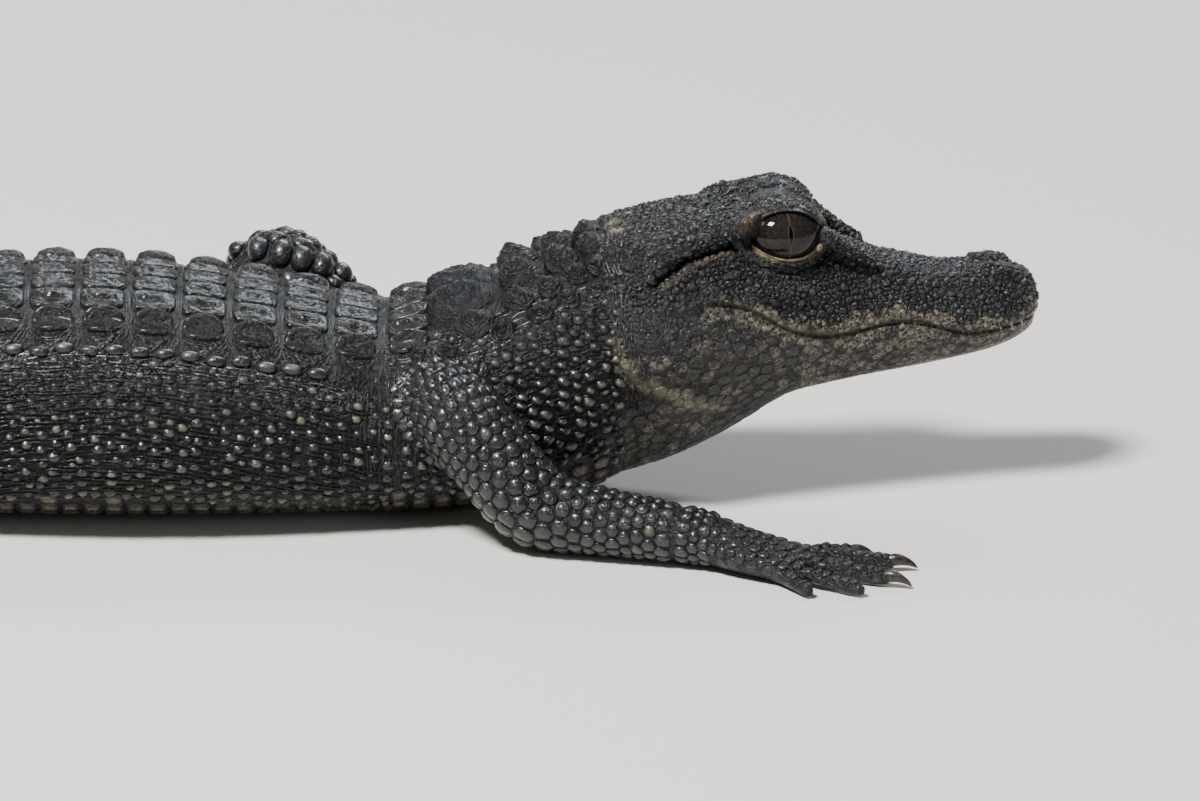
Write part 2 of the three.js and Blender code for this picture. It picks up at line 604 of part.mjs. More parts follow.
const NECK_CUT = 74.5;
const SKULL_CUT = { x: -0.5, width: 62, height: 80, lowered: 10 }; // in the head's frame
const BEHIND_SKULL = 60; // how much of the mouth's slit is kept out of the neck
const skullCut = placed(
  solid(new THREE.BoxGeometry(GAP, SKULL_CUT.width, SKULL_CUT.height).translate(SKULL_CUT.x, 0, -SKULL_CUT.lowered)),
  headFrame,
);
const behindSkull = placed(
  solid(new THREE.BoxGeometry(BEHIND_SKULL, WIDER_THAN_HEAD + 20, WIDER_THAN_HEAD + 20)
    .translate(SKULL_CUT.x + 0.1 - BEHIND_SKULL / 2, 0, 0)),
  headFrame,
);
const trunkPieces = animal.subtract(joined([
  skullCut, placed(mouthSlit(), headFrame).subtract(behindSkull), bodyCut(NECK_CUT), ...TAIL_CUTS.map(bodyCut),
])).decompose();

// Each piece is found by a point inside it.
function holding(pieces, point) {
  const probe = solid(ball(0.6, 0).translate(point.x, point.y, point.z));
  const found = pieces.filter((b) => b.intersect(probe).volume() > 0);
  if (found.length !== 1) throw new Error(`the seed ${point.toArray()} lies in ${found.length} pieces`);
  return found[0];
}
function headPoint(x, y, z) {
  return new THREE.Vector3(x, y, z).applyMatrix4(headFrame);
}
function midBody(s) {
  return midline(s).p.setZ(BACK_HEIGHT(s) * 0.4);
}
const TRUNK_SEEDS = {
  head: headPoint(45, 0, 6),
  lower_jaw: headPoint(45, 0, -10),
  neck: midBody(88),
  torso: midBody(0),
  tail_root: midBody(-130),
  tail_middle: midBody(-235),
  tail_end: midBody(-330),
};

// A leg stands off the body and off the scutes, and is parted at the elbow or knee and at the wrist or ankle.
const ELBOW = 3;
function legPieces(leg) {
  const line = leg.line.map(vector);
  const wrist = line.length - 1;
  const whole = joined([leg.flesh, leg.paw.flesh]).subtract(roundBody);
  const cuts = joined([
    mitre(line[ELBOW - 1], line[ELBOW], line[ELBOW + 1]),
    mitre(line[wrist - 1], line[wrist], line[wrist].clone().add(leg.paw.forward)),
  ]);
  const pieces = whole.subtract(cuts).decompose();
  const upper = line[ELBOW - 1];
  const lower = line[ELBOW].clone().lerp(line[wrist], 0.5);
  const foot = line[wrist].clone().addScaledVector(leg.paw.forward, leg.palm.length * 0.6).setZ(2.4);
  return { upper: holding(pieces, upper), lower: holding(pieces, lower), foot: holding(pieces, foot) };
}

// Finishes, each piece taking a copy of its own
const SKIN = new THREE.MeshStandardMaterial({ color: 0x2b2c2d, roughness: 0.5 });
const JAW_SKIN = new THREE.MeshStandardMaterial({ color: 0x4a4238, roughness: 0.55 });
const EYE = new THREE.MeshStandardMaterial({ color: 0x14100d, roughness: 0.08 });
const CLAW = new THREE.MeshStandardMaterial({ color: 0x1d1b1a, roughness: 0.4 });

const alligator = new THREE.Group();
function add(name, made, material) {
  const { vertProperties, triVerts, numProp, numVert } = largest(made).getMesh();
  const position = new Float32Array(numVert * 3);
  for (let i = 0; i < numVert; i++) position.set(vertProperties.subarray(i * numProp, i * numProp + 3), i * 3);
  const geometry = new THREE.BufferGeometry()
    .setAttribute("position", new THREE.BufferAttribute(position, 3))
    .setIndex(new THREE.BufferAttribute(triVerts, 1));
  geometry.computeVertexNormals();
  const mesh = new THREE.Mesh(geometry, material.clone());
  mesh.name = name;
  alligator.add(mesh);
}

for (const [name, point] of Object.entries(TRUNK_SEEDS)) {
  add(name, holding(trunkPieces, point), name === "lower_jaw" ? JAW_SKIN : SKIN);
}
for (const [side, { eye }] of Object.entries(eyes)) add("eye_" + side, placed(eye, headFrame), EYE);
for (const leg of LEGS) {
  const { upper, lower, foot } = legPieces(leg);
  add(leg.name + "_upper", upper, SKIN);
  add(leg.name + "_lower", lower, SKIN);
  add(leg.foot, foot, SKIN);
  leg.paw.claws.forEach((claw, i) => add(`${leg.foot}_claw_${i + 1}`, claw, CLAW));
}

export default alligator;
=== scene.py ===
import math

import bmesh
import bpy
import numpy as np
from mathutils import Matrix, Vector
from mathutils.bvhtree import BVHTree
from mathutils.kdtree import KDTree


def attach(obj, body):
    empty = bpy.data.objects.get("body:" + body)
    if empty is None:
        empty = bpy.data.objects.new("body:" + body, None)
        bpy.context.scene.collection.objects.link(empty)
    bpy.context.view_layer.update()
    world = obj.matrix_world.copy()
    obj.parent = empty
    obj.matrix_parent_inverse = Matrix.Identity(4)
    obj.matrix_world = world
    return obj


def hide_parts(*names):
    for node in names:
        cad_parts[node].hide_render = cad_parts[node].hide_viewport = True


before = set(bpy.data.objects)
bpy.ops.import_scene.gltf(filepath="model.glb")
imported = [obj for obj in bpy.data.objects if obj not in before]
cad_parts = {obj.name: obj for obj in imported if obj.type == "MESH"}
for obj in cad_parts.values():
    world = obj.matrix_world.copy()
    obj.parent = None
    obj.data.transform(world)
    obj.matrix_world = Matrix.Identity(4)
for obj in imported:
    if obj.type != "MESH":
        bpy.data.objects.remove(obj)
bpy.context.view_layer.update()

MM = 0.001  # shapes are worked out in millimetres and set down in metres


# The viewpoint: a long lens a few metres off, square to the animal's right side and a little above it. It
# takes in the head, the fore body and the near arm.
LENS_WIDTH = 36.0
STAND_OFF = 3400.0
VIEW_DROP = math.radians(18)
VIEW_WIDTH = 237.2  # of the animal, across the picture
AIM = Vector((97.2, 0, 18.6))
camera_data = bpy.data.cameras.new("viewpoint")
camera_data.sensor_width = LENS_WIDTH
camera_data.lens = LENS_WIDTH * STAND_OFF / VIEW_WIDTH
camera_data.clip_end = 200
camera = bpy.data.objects.new("viewpoint", camera_data)
bpy.context.scene.collection.objects.link(camera)
look_back = Vector((0, -math.cos(VIEW_DROP), math.sin(VIEW_DROP)))
camera.location = (AIM + look_back * STAND_OFF) * MM
camera.rotation_euler = look_back.to_track_quat("Z", "Y").to_euler()
bpy.context.scene.camera = camera


# The studio: a pale floor, a small bright key lamp high up over the tail, a long rim lamp on the far side
# and a weak fill in front that leaves no highlight. The world adds a little even grey.
FLOOR_PAINT = (0.62, 0.6, 0.57, 1)
WORLD_GREY = (0.86, 0.88, 0.9, 1)


def softbox(name, place, size, power, colour):
    light = bpy.data.lights.new(name, "AREA")
    light.shape = "RECTANGLE"
    light.size = size[0]
    light.size_y = size[1]
    light.energy = power
    light.color = colour
    lamp = bpy.data.objects.new(name, light)
    lamp.location = place
    lamp.rotation_euler = Vector(place).to_track_quat("Z", "Y").to_euler()
    bpy.context.scene.collection.objects.link(lamp)
    return lamp


softbox("key", place=(-0.5, -0.55, 1.35), size=(0.36, 0.32), power=62, colour=(1.0, 0.99, 0.97))
softbox("rim", place=(0.4, 1.3, 1.0), size=(1.1, 0.35), power=17, colour=(0.9, 0.95, 1.0))
fill = softbox("fill", place=(1.5, -1.5, 0.7), size=(0.9, 0.9), power=6, colour=(0.94, 0.97, 1.0))
fill.visible_glossy = False
world = bpy.data.worlds.new("studio")
world.use_nodes = True
backdrop = world.node_tree.nodes["Background"]
backdrop.inputs["Color"].default_value = WORLD_GREY
backdrop.inputs["Strength"].default_value = 0.2
bpy.context.scene.world = world

floor_mesh = bmesh.new()
bmesh.ops.create_grid(floor_mesh, x_segments=2, y_segments=2, size=30)
floor_data = bpy.data.meshes.new("floor")
floor_mesh.to_mesh(floor_data)
floor = bpy.data.objects.new("floor", floor_data)
bpy.context.scene.collection.objects.link(floor)
floor_paint = bpy.data.materials.new("pale floor")
floor_paint.use_nodes = True
floor_paint.node_tree.nodes["Principled BSDF"].inputs["Base Color"].default_value = FLOOR_PAINT
floor_paint.node_tree.nodes["Principled BSDF"].inputs["Roughness"].default_value = 0.8
floor_data.materials.append(floor_paint)


# The body's form: a round-cornered section carried along a midline that bends to the left at the tail tip.
# It is the flesh under the scales, so it lies a little inside the outer size of the animal.
TAIL_TIP = -383
TAIL_ROOT = -83
NECK_END = 101
SCALE_DEPTH = 0.7
FLOOR_GAP = 0.02  # the skin stays this far above the floor
RIGHT = -1
LEFT = 1


def through(pairs):
    """A smooth curve through (station, value) pairs, level past its ends."""
    xs, ys = np.array(pairs, float).T
    before = np.maximum(np.arange(len(xs)) - 1, 0)
    after = np.minimum(np.arange(len(xs)) + 1, len(xs) - 1)
    slope = (ys[after] - ys[before]) / (xs[after] - xs[before])

    def read(station):
        x = np.clip(station, xs[0], xs[-1])
        i = np.clip(np.searchsorted(xs, x), 1, len(xs) - 1)
        step = xs[i] - xs[i - 1]
        t = (x - xs[i - 1]) / step
        rise = t * t * (3 - 2 * t)
        bend = slope[i - 1] * t * (1 - t) ** 2 - slope[i] * t * t * (1 - t)
        return ys[i - 1] * (1 - rise) + ys[i] * rise + step * bend

    return read


heading = through([
    (TAIL_TIP, 40), (-320, 22), (-270, 3), (-220, -11), (-160, -14), (-110, -7), (-70, 0), (60, 0), (85, 3),
    (NECK_END, 6),
])
half_width = through([
    (TAIL_TIP, 0.9), (-340, 2.3), (-300, 3.7), (-250, 5.8), (-200, 8.4), (-150, 12.2), (-112, 16.5),
    (-87, 21.5), (-66, 27), (-45, 31.5), (-20, 35.5), (5, 37), (30, 35), (50, 31.5), (65, 29), (78, 26.5),
    (90, 24.5), (98, 22.5), (108, 15),
])
back_height = through([
    (TAIL_TIP, 2.4), (-340, 7), (-300, 11), (-250, 15.5), (-200, 20), (-150, 24.5), (-112, 28.5), (-87, 33),
    (-66, 38), (-45, 42), (-20, 45), (5, 44.8), (25, 42.4), (45, 39), (55, 37.4), (63, 39.7), (72, 42.2),
    (82, 47), (92, 49.8), (98, 50), (108, 42),
])
underside = through([(78, 0), (88, 1), (96, 3), (102, 6), (108, 14)])
wide_share = through([(TAIL_TIP, 0.45), (-150, 0.42), (-60, 0.4), (60, 0.42), (90, 0.5), (112, 0.55)])
BACK_SQUARE = 2.35
BELLY_SQUARE = 2.2

STATION_STEP = 0.5
STATIONS = np.arange(TAIL_TIP - 10, NECK_END + 12, STATION_STEP)
turns = np.radians(heading(STATIONS))
origin_at = int(np.argmin(np.abs(STATIONS)))
turns_between = (turns[1:] + turns[:-1]) / 2
line_x = np.concatenate(([0], np.cumsum(STATION_STEP * np.cos(turns_between))))
line_y = np.concatenate(([0], np.cumsum(STATION_STEP * np.sin(turns_between))))
line_x -= line_x[origin_at]
line_y -= line_y[origin_at]


def midline(s):
    """The floor point under the midline, and the ways forward and left."""
    zero = np.zeros_like(s)
    at = np.stack((np.interp(s, STATIONS, line_x), np.interp(s, STATIONS, line_y), zero), -1)
    turn = np.radians(heading(s))
    ahead = np.stack((np.cos(turn), np.sin(turn), zero), -1)
    left = np.stack((-np.sin(turn), np.cos(turn), zero), -1)
    return at, ahead, left


def on_body(s, angle, out=0.0):
    """A point of the body at a station, turned from the top of the back towards the left side."""
    s, angle = np.broadcast_arrays(np.asarray(s, float), np.asarray(angle, float))
    at, ahead, left = midline(s)
    high = back_height(s)
    low = underside(s)
    wide = low + (high - low) * wide_share(s)
    sunk = low - np.minimum(1.2, high / 8)
    up = np.cos(angle) >= 0
    power = np.where(up, 2 / BACK_SQUARE, 2 / BELLY_SQUARE)
    half = np.maximum(half_width(s) + out, 0.4)
    across = np.sign(np.sin(angle)) * np.abs(np.sin(angle)) ** power * half
    rise = np.abs(np.cos(angle)) ** power
    z = np.where(up, wide + np.maximum(high + out - wide, 0.3) * rise, wide - (wide - sunk + out) * rise)
    point = at + left * across[..., None]
    point[..., 2] = np.maximum(z, low - out * (low > 0) + FLOOR_GAP)
    return point


def wrapped(mesh, rings, spans):
    """A grid bent round over rings of points; with as many spans as rings, its last ring joins its first."""
    rows, around = rings.shape[:2]
    grid = bmesh.ops.create_grid(mesh, x_segments=around, y_segments=spans, size=1)["verts"]
    for vert in grid:
        i = round((vert.co.y + 1) / 2 * spans) % rows
        j = round((vert.co.x + 1) / 2 * around) % around
        vert.co = rings[i, j]
    bmesh.ops.remove_doubles(mesh, verts=grid, dist=1e-4)


def tube(mesh, rings):
    """A closed skin over rings of points, drawn shut at both ends."""
    rings = np.asarray(rings, float)
    ends = rings[[0, -1]].mean(axis=1, keepdims=True).repeat(rings.shape[1], axis=1)
    rings = np.concatenate((ends[:1], rings, ends[1:]))
    wrapped(mesh, rings, len(rings) - 1)


flesh = bmesh.new()
BODY_AROUND = 56
body_rows = np.concatenate((np.arange(TAIL_TIP, TAIL_ROOT, 2.0), np.arange(TAIL_ROOT, NECK_END + 6, 1.6)))
body_turns = np.linspace(0, 2 * math.pi, BODY_AROUND, endpoint=False)
tube(flesh, on_body(body_rows[:, None], body_turns[None, :], -SCALE_DEPTH))


# The head: a flat skull table, raised orbits, a long snout that dips and lifts at the nostrils, deep jowls.
# Each row is a station from the back of the table, then the top, the top's edge, the cheek, the lip, the
# lower corner and the underside.
HEAD_LENGTH = 85.4
head_place = (
    Matrix.Translation((99, 0.5, 38)) @ Matrix.Rotation(math.radians(8), 4, "Z")
    @ Matrix.Rotation(math.radians(-2), 4, "Y")
)
head_rows = np.array([
    (-9, 9.6, 8, 8.6, 12, 2, 15, -8, 12, -16, -22),
    (-2, 15.2, 10.5, 14, 16, 7.6, 21.5, -4.5, 17, -19.5, -32),
    (6, 17.4, 12.4, 16.2, 17, 10, 23.6, -4, 17.2, -19.5, -31.8),
    (16, 18.6, 12.6, 17.6, 17.2, 10, 22.4, -3.5, 16, -18, -28.6),
    (25, 19.2, 10.5, 17.8, 16.8, 7.5, 20.2, -4, 14.4, -16.6, -24.4),
    (34, 17.2, 8.6, 15.6, 15.6, 4.6, 18.3, -4.5, 13, -15.4, -19.4),
    (42, 13, 7.6, 11.6, 13.6, 3.2, 16.5, -5.2, 11.8, -14.6, -18),
    (50, 8.8, 6.6, 7.6, 11.9, 1.4, 14.9, -5.8, 10.9, -13.8, -17),
    (58, 6, 6.4, 5.2, 11, 0.2, 13.6, -6.2, 10.2, -13.2, -16.2),
    (66, 3.8, 6.4, 3.2, 10.4, -0.9, 12.8, -6.8, 9.6, -12.6, -15.2),
    (72, 3.2, 6.8, 2.6, 10.3, -1.2, 12.4, -7, 9.2, -12, -14.2),
    (77, 3.2, 6.4, 2.4, 9.6, -1.2, 11.4, -6.4, 8.2, -11.2, -13.2),
    (81, 2.4, 5.2, 1.4, 7.9, -1.4, 9.4, -5.6, 6.6, -10, -11.8),
    (84, 0.6, 3.6, 0, 5.4, -1.8, 6.4, -5, 4.6, -8.4, -9.8),
    (HEAD_LENGTH, -2.2, 1.2, -2.5, 1.9, -3.2, 2.2, -4.4, 1.5, -5.6, -6.2),
])
head_sizes = [through(head_rows[:, (0, column)]) for column in range(1, 11)]
HEAD_INSET = 0.35
HEAD_AROUND = 84


def closed_curve(points, turn):
    """A smooth closed curve through points (rows, corners, 3), read at turn from 0 to 1."""
    count = points.shape[1]
    at = (turn % 1) * count
    i = np.floor(at).astype(int) % count
    t = (at - np.floor(at))[..., None]
    rows = np.arange(points.shape[0])[:, None]
    p = [points[rows, (i + k) % count] for k in (-1, 0, 1, 2)]
    d = [np.maximum(np.linalg.norm(p[k + 1] - p[k], axis=-1, keepdims=True) ** 0.5, 1e-3) for k in range(3)]
    m1 = ((p[1] - p[0]) / d[0] - (p[2] - p[0]) / (d[0] + d[1]) + (p[2] - p[1]) / d[1]) * d[1]
    m2 = ((p[2] - p[1]) / d[1] - (p[3] - p[1]) / (d[1] + d[2]) + (p[3] - p[2]) / d[2]) * d[1]
    a = 2 * p[1] - 2 * p[2] + m1 + m2
    b = -3 * p[1] + 3 * p[2] - 2 * m1 - m2
    return a * t**3 + b * t**2 + m1 * t + p[1]


def on_head(x, angle, inset=0.0):
    """A point of the head in its own frame, at stations x and angles from the top towards the left."""
    x = np.atleast_1d(np.asarray(x, float))
    sizes = [size(x) for size in head_sizes]
    top, edge_y, edge_z, cheek_y, cheek_z, lip_y, lip_z, low_y, low_z, under = sizes
    half = [
        (edge_y * 0.55, top), (edge_y, edge_z), (cheek_y, cheek_z), (lip_y, lip_z), (low_y, low_z),
        (low_y * 0.5, under * 0.9 + low_z * 0.1),
    ]
    ring = [(0 * x, top)] + half + [(0 * x, under)] + [(-y, z) for y, z in reversed(half)]
    points = np.stack([np.stack((x, y, z), -1) for y, z in ring], 1)
    middle = points.mean(axis=1, keepdims=True)
    size = np.linalg.norm(points - middle, axis=-1, keepdims=True)
    points = points - (points - middle) / size * np.minimum(inset, size * 0.3)
    turn = np.broadcast_to(np.asarray(angle, float) / (2 * math.pi), (len(x), np.size(angle)))
    return closed_curve(points, turn)


def to_world(points, place=head_place):
    points = np.asarray(points, float)
    return points @ np.array(place.to_3x3()).T + np.array(place.translation)


def to_head(points):
    return to_world(points, head_place.inverted())


head_steps = np.concatenate((np.arange(-9, 78, 1.0), [79, 80, 81, 82, 83, 83.8, 84.4, 84.9]))
head_turns = np.linspace(0, 2 * math.pi, HEAD_AROUND, endpoint=False)
tube(flesh, to_world(on_head(head_steps, head_turns, HEAD_INSET)))


def measured(line):
    """How far along a limb its points lie, and curves through their x, y, z, radius across and radius up."""
    line = np.array([tuple(p) + (p[3],) * (5 - len(p)) for p in line], float)
    reach = np.concatenate(([0], np.cumsum(np.linalg.norm(np.diff(line[:, :3], axis=0), axis=1))))
    return reach, [through(np.stack((reach, line[:, k]), 1)) for k in range(5)]


def limb(mesh, line, place=None, around=28, spacing=1.0):
    """A round limb along its line of points, never below the floor."""
    reach, curves = measured(line)
    at = np.linspace(0, reach[-1], max(4, int(reach[-1] / spacing)))
    x, y, z, wide, deep = [curve(at) for curve in curves]
    middle = np.stack((x, y, z), 1)
    along = np.gradient(middle, axis=0)
    along /= np.linalg.norm(along, axis=1, keepdims=True)
    side = np.cross((0, 0, 1), along)
    side /= np.linalg.norm(side, axis=1, keepdims=True) + 1e-9
    up = np.cross(along, side)
    angle = np.linspace(0, 2 * math.pi, around, endpoint=False)[None, :, None]
    across, upward = (side * wide[:, None])[:, None], (up * deep[:, None])[:, None]
    rings = middle[:, None] + np.sin(angle) * across + np.cos(angle) * upward
    if place is not None:
        rings = to_world(rings.reshape(-1, 3), place).reshape(rings.shape)
    rings[..., 2] = np.maximum(rings[..., 2], FLOOR_GAP)
    tube(mesh, rings)


def mirrored(points):
    return [(p[0], -p[1]) + tuple(p[2:]) for p in points]


# brow over each eye, running forward into the ridge of the snout; cheek, jowl muscle and the nostrils'
# mound
EYE_AT = (33.8, 8, 14.8)
ORBIT = (8.9, 8.1, 7.1)
BROW = [
    (19, 10.4, 15.4, 2.2, 2), (26, 11.2, 17.6, 3, 2.4), (33, 11, 18.6, 3, 2.5), (39, 10.4, 16.6, 2.6, 2.2),
    (45, 9, 11.6, 1.9, 1.6), (52, 7.6, 7.2, 1.2, 1),
]
CHEEK = [(20, 14, 5.5, 3, 3.4), (28, 14.6, 5, 3, 3), (36, 13.6, 3.6, 2.6, 2.8), (44, 12, 1.2, 2, 2)]
JOWL = [
    (-2, 12, -11, 6, 8), (6, 14.5, -10.5, 7.2, 9.6), (14, 13.4, -10.5, 6.6, 8.6), (24, 11, -11.5, 5, 5.5),
]
NARES = [(71, 3.4, 1.2, 1.6, 1.4), (74.5, 3.9, 1.7, 2.9, 2), (78, 3.6, 1.5, 2.8, 2), (81, 3, 0, 1.6, 1.4)]
for form in (BROW, CHEEK, JOWL, NARES):
    limb(flesh, form, head_place)
    limb(flesh, mirrored(form), head_place)
for side in (LEFT, RIGHT):
    orbit = bmesh.ops.create_uvsphere(flesh, u_segments=32, v_segments=20, radius=1)["verts"]
    bmesh.ops.scale(flesh, vec=ORBIT, verts=orbit)
    bmesh.ops.translate(flesh, vec=(EYE_AT[0], EYE_AT[1] * side, EYE_AT[2]), verts=orbit)
    bmesh.ops.transform(flesh, matrix=head_place, verts=orbit)


# The legs: flesh over bone, sprawled with elbows and knees out, one with the body's skin. Each is a bent
# line from shoulder or hip through its joints, with the limb's radii there; its side and the foot's turn
# stand before it.
LEGS = {
    "foreleg_right": (RIGHT, -21, [
        (64, -16, 26, 9), (69, -27.5, 24.5, 9, 9.6), (76.5, -33.5, 17, 8.2, 8.8), (84.5, -37.5, 9, 7.8, 8.2),
        (95, -40.5, 7.2, 7, 7), (108, -44.5, 6.4, 6, 6.2), (118.5, -47.5, 5.6, 5.4, 5.6)]),
    "foreleg_left": (LEFT, 18, [
        (62, 16, 24, 9), (55.5, 27.5, 21.5, 8.6, 9), (45.5, 38.5, 22.5, 8, 8.4), (33.5, 47, 30.2, 9.4, 9),
        (28.5, 55, 22.5, 7.6, 7.8), (36, 63, 12, 6.2, 6.4), (43, 67.5, 6, 5.4, 5.6)]),
    "hindleg_right": (RIGHT, -46, [
        (-70, -14, 20, 12), (-65, -30, 20.5, 12, 12.5), (-57, -43, 20.5, 10.5, 11), (-51, -53, 19.5, 9, 9.5),
        (-61, -58, 14.5, 8.2, 8.2), (-73, -60.5, 9.5, 6.6, 6.8), (-81, -61.5, 6.6, 6, 6)]),
    "hindleg_left": (LEFT, 34, [
        (-69, 12, 20, 12), (-62, 28, 20.8, 12, 12.4), (-50, 40.5, 21, 10.6, 11.1), (-39, 48, 20.5, 9, 9.5),
        (-48, 54.5, 15.5, 8.2, 8.2), (-61, 58.5, 10, 6.6, 6.8), (-70, 60, 6.6, 6, 6)]),
}
LIMB_INSET = 0.45
for side, turn, line in LEGS.values():
    limb(flesh, [(p[0], p[1], p[2]) + tuple(r - LIMB_INSET for r in p[3:]) for p in line])


# The feet: a flat palm with five fingers, or with four webbed toes, counted from the inner one outward.
# They are flesh like the legs and lie on the floor; only the three inner toes of each bear claws.
# toes: fan angle, length, radius, place across the palm, claw length
FORE_TOES = [
    (40, 13, 2.1, 0.4, 4), (20, 21, 2.2, 0.24, 4.4), (1, 22.5, 2.2, 0.02, 4.4), (-12, 20.5, 1.9, -0.22, 0),
    (-34, 12.5, 1.8, -0.38, 0),
]
HIND_TOES = [
    (24, 17, 2.4, 0.34, 5), (8, 23, 2.5, 0.13, 5.2), (-8, 25, 2.4, -0.12, 5.2), (-26, 22, 2, -0.34, 0),
]
# a toe's swells and joints: share of its length, height and width in radii
TOE_FORM = [
    (0, 1.15, 1), (0.22, 1.35, 1.02), (0.36, 1.2, 0.9), (0.52, 1.3, 1), (0.68, 1.05, 0.86), (0.84, 1.0, 0.92),
    (1, 0.85, 0.66),
]
TOE_INSET = 0.25
WEB_THICK = 1.4
# palms: length, width, thickness
PALMS = {"fore": (17, 16, 6.4), "hind": (21, 16, 7)}
toe_lines = {}


def ahead_of(turn, side, fan):
    a = math.radians(turn - side * fan)
    return np.array((math.cos(a), math.sin(a), 0))


for leg, (side, turn, line) in LEGS.items():
    kind = leg[:4]
    length, width, thick = PALMS[kind]
    forward = ahead_of(turn, side, 0)
    across = ahead_of(turn, side, 90)
    ankle = np.array(line[-1][:3])
    ground = ankle * (1, 1, 0)
    knuckle = ground + forward * length
    palm = [
        (*ankle, line[-1][3] - LIMB_INSET),
        (*(ground + forward * length * 0.45 + (0, 0, thick * 0.62)), width * 0.42, thick * 0.62),
        (*(knuckle + (0, 0, thick * 0.42)), width / 2 - 0.3, thick * 0.46),
        (*(knuckle + forward * 4 + (0, 0, thick * 0.32)), width * 0.4, thick * 0.33),
    ]
    limb(flesh, palm)
    toe_lines[leg] = []
    for fan, long, radius, offset, claw in FORE_TOES if kind == "fore" else HIND_TOES:
        way = ahead_of(turn, side, fan)
        root = knuckle + across * offset * width - way * 2
        r = radius - TOE_INSET
        toe = [(*(root + way * long * share + (0, 0, high * r)), wide * r) for share, high, wide in TOE_FORM]
        limb(flesh, toe, around=16, spacing=0.8)
        toe_lines[leg].append((root, way, long, radius, claw))
    if kind == "hind":
        toes = toe_lines[leg]
        for (root_a, way_a, long_a, *_), (root_b, way_b, long_b, *_) in zip(toes, toes[1:]):
            web = bmesh.ops.create_grid(flesh, x_segments=8, y_segments=8, size=1)["verts"]
            for vert in web:
                share = (vert.co.x + 1) / 2
                reach = (vert.co.y + 1) / 2 * (0.5 - 0.22 * math.sin(math.pi * share))
                a = root_a + way_a * long_a * (reach + 0.06)
                b = root_b + way_b * long_b * (reach + 0.06)
                vert.co = a * (1 - share) + b * share + (0, 0, 1.5)
            faces = list({face for vert in web for face in vert.link_faces})
            bmesh.ops.solidify(flesh, geom=faces, thickness=WEB_THICK)


# The hide: one skin over all of the flesh. The parts are drawn into a single surface, which is then eased
# where the limbs and the head meet the body.
EASE_ROUNDS = 14
LIMB_SOFT_REACH = 22
bmesh.ops.recalc_face_normals(flesh, faces=flesh.faces)
hide_data = bpy.data.meshes.new("hide")
flesh.to_mesh(hide_data)
flesh.free()
hide = bpy.data.objects.new("hide", hide_data)
bpy.context.scene.collection.objects.link(hide)


def apply_modifiers(thing):
    """Works the modifiers into the mesh."""
    depsgraph = bpy.context.evaluated_depsgraph_get()
    done = bpy.data.meshes.new_from_object(thing.evaluated_get(depsgraph))
    thing.modifiers.clear()
    thing.data = done


remesh = hide.modifiers.new("one surface", "REMESH")
remesh.mode = "VOXEL"
remesh.voxel_size = 0.66
apply_modifiers(hide)


def points_of(mesh):
    co = np.empty(len(mesh.vertices) * 3)
    mesh.vertices.foreach_get("co", co)
    return co.reshape(-1, 3)


def normals_of(mesh):
    n = np.empty(len(mesh.vertices) * 3)
    mesh.vertices.foreach_get("normal", n)
    return n.reshape(-1, 3)


def edges_of(mesh):
    e = np.empty(len(mesh.edges) * 2, np.int32)
    mesh.edges.foreach_get("vertices", e)
    return e.reshape(-1, 2)


def eased(values, edges, rounds, share=0.5):
    """Values at the points, each drawn part of the way to the mean of its neighbours, round after round."""
    values = values.copy()
    count = np.bincount(edges.ravel(), minlength=len(values)).astype(float)
    for _ in range(rounds):
        total = np.stack([
            np.bincount(edges[:, 0], values[edges[:, 1], k], len(values))
            + np.bincount(edges[:, 1], values[edges[:, 0], k], len(values)) for k in range(3)], 1)
        values += (total / count[:, None] - values) * np.broadcast_to(share, (len(values),))[:, None]
    return values


def near(points, spots, radius):
    """1 at the spots, falling to 0 a radius away."""
    gap = np.min([np.linalg.norm(points - np.array(spot), axis=1) for spot in spots], axis=0)
    return np.clip(1 - gap / radius, 0, 1)


points = points_of(hide.data)
edges = edges_of(hide.data)
limb_roots = [line[1][:3] for _, _, line in LEGS.values()] + [line[0][:3] for _, _, line in LEGS.values()]
soft = np.clip(near(points, limb_roots, LIMB_SOFT_REACH) * 2, 0, 1) * 0.6
behind_head = to_head(points)[:, 0]
soft = np.maximum(soft, 0.5 * np.clip(1 - np.abs(behind_head + 4) / 7, 0, 1))
soft = np.maximum(soft, 0.12)
points = eased(points, edges, EASE_ROUNDS, soft)
points[:, 2] = np.maximum(points[:, 2], FLOOR_GAP)
hide.data.vertices.foreach_set("co", points.ravel())
hide.data.update()


# The face: folds of the same skin. The mouth line, the ear under its flap, the jowl's edge, the hollows
# for the eyes and the nostrils are pressed into the hide or raised from it. Places on the right side are
# where the picture shows them, carried over to the left side.
PIXELS_A_MM = 5.06
PICTURE_MIDDLE = (600, 400.5)


def tree_of(thing):
    mesh = bmesh.new()
    mesh.from_mesh(thing.data)
    tree = BVHTree.FromBMesh(mesh)
    mesh.free()
    return tree


hide_tree = tree_of(hide)
plain_tree = hide_tree
up_picture = Vector((0, math.sin(VIEW_DROP), math.cos(VIEW_DROP)))


def picked(px, py):
    """The place on the hide that the picture shows at a spot."""
    start = AIM + Vector((1, 0, 0)) * ((px - PICTURE_MIDDLE[0]) / PIXELS_A_MM)
    start = start + up_picture * ((PICTURE_MIDDLE[1] - py) / PIXELS_A_MM) + look_back * 500
    return hide_tree.ray_cast(start, -look_back)[0]


def seen_at(spots):
    """Where the picture's spots lie on the hide, in the head's own frame."""
    return to_head(np.array([tuple(picked(*spot)) for spot in spots]))


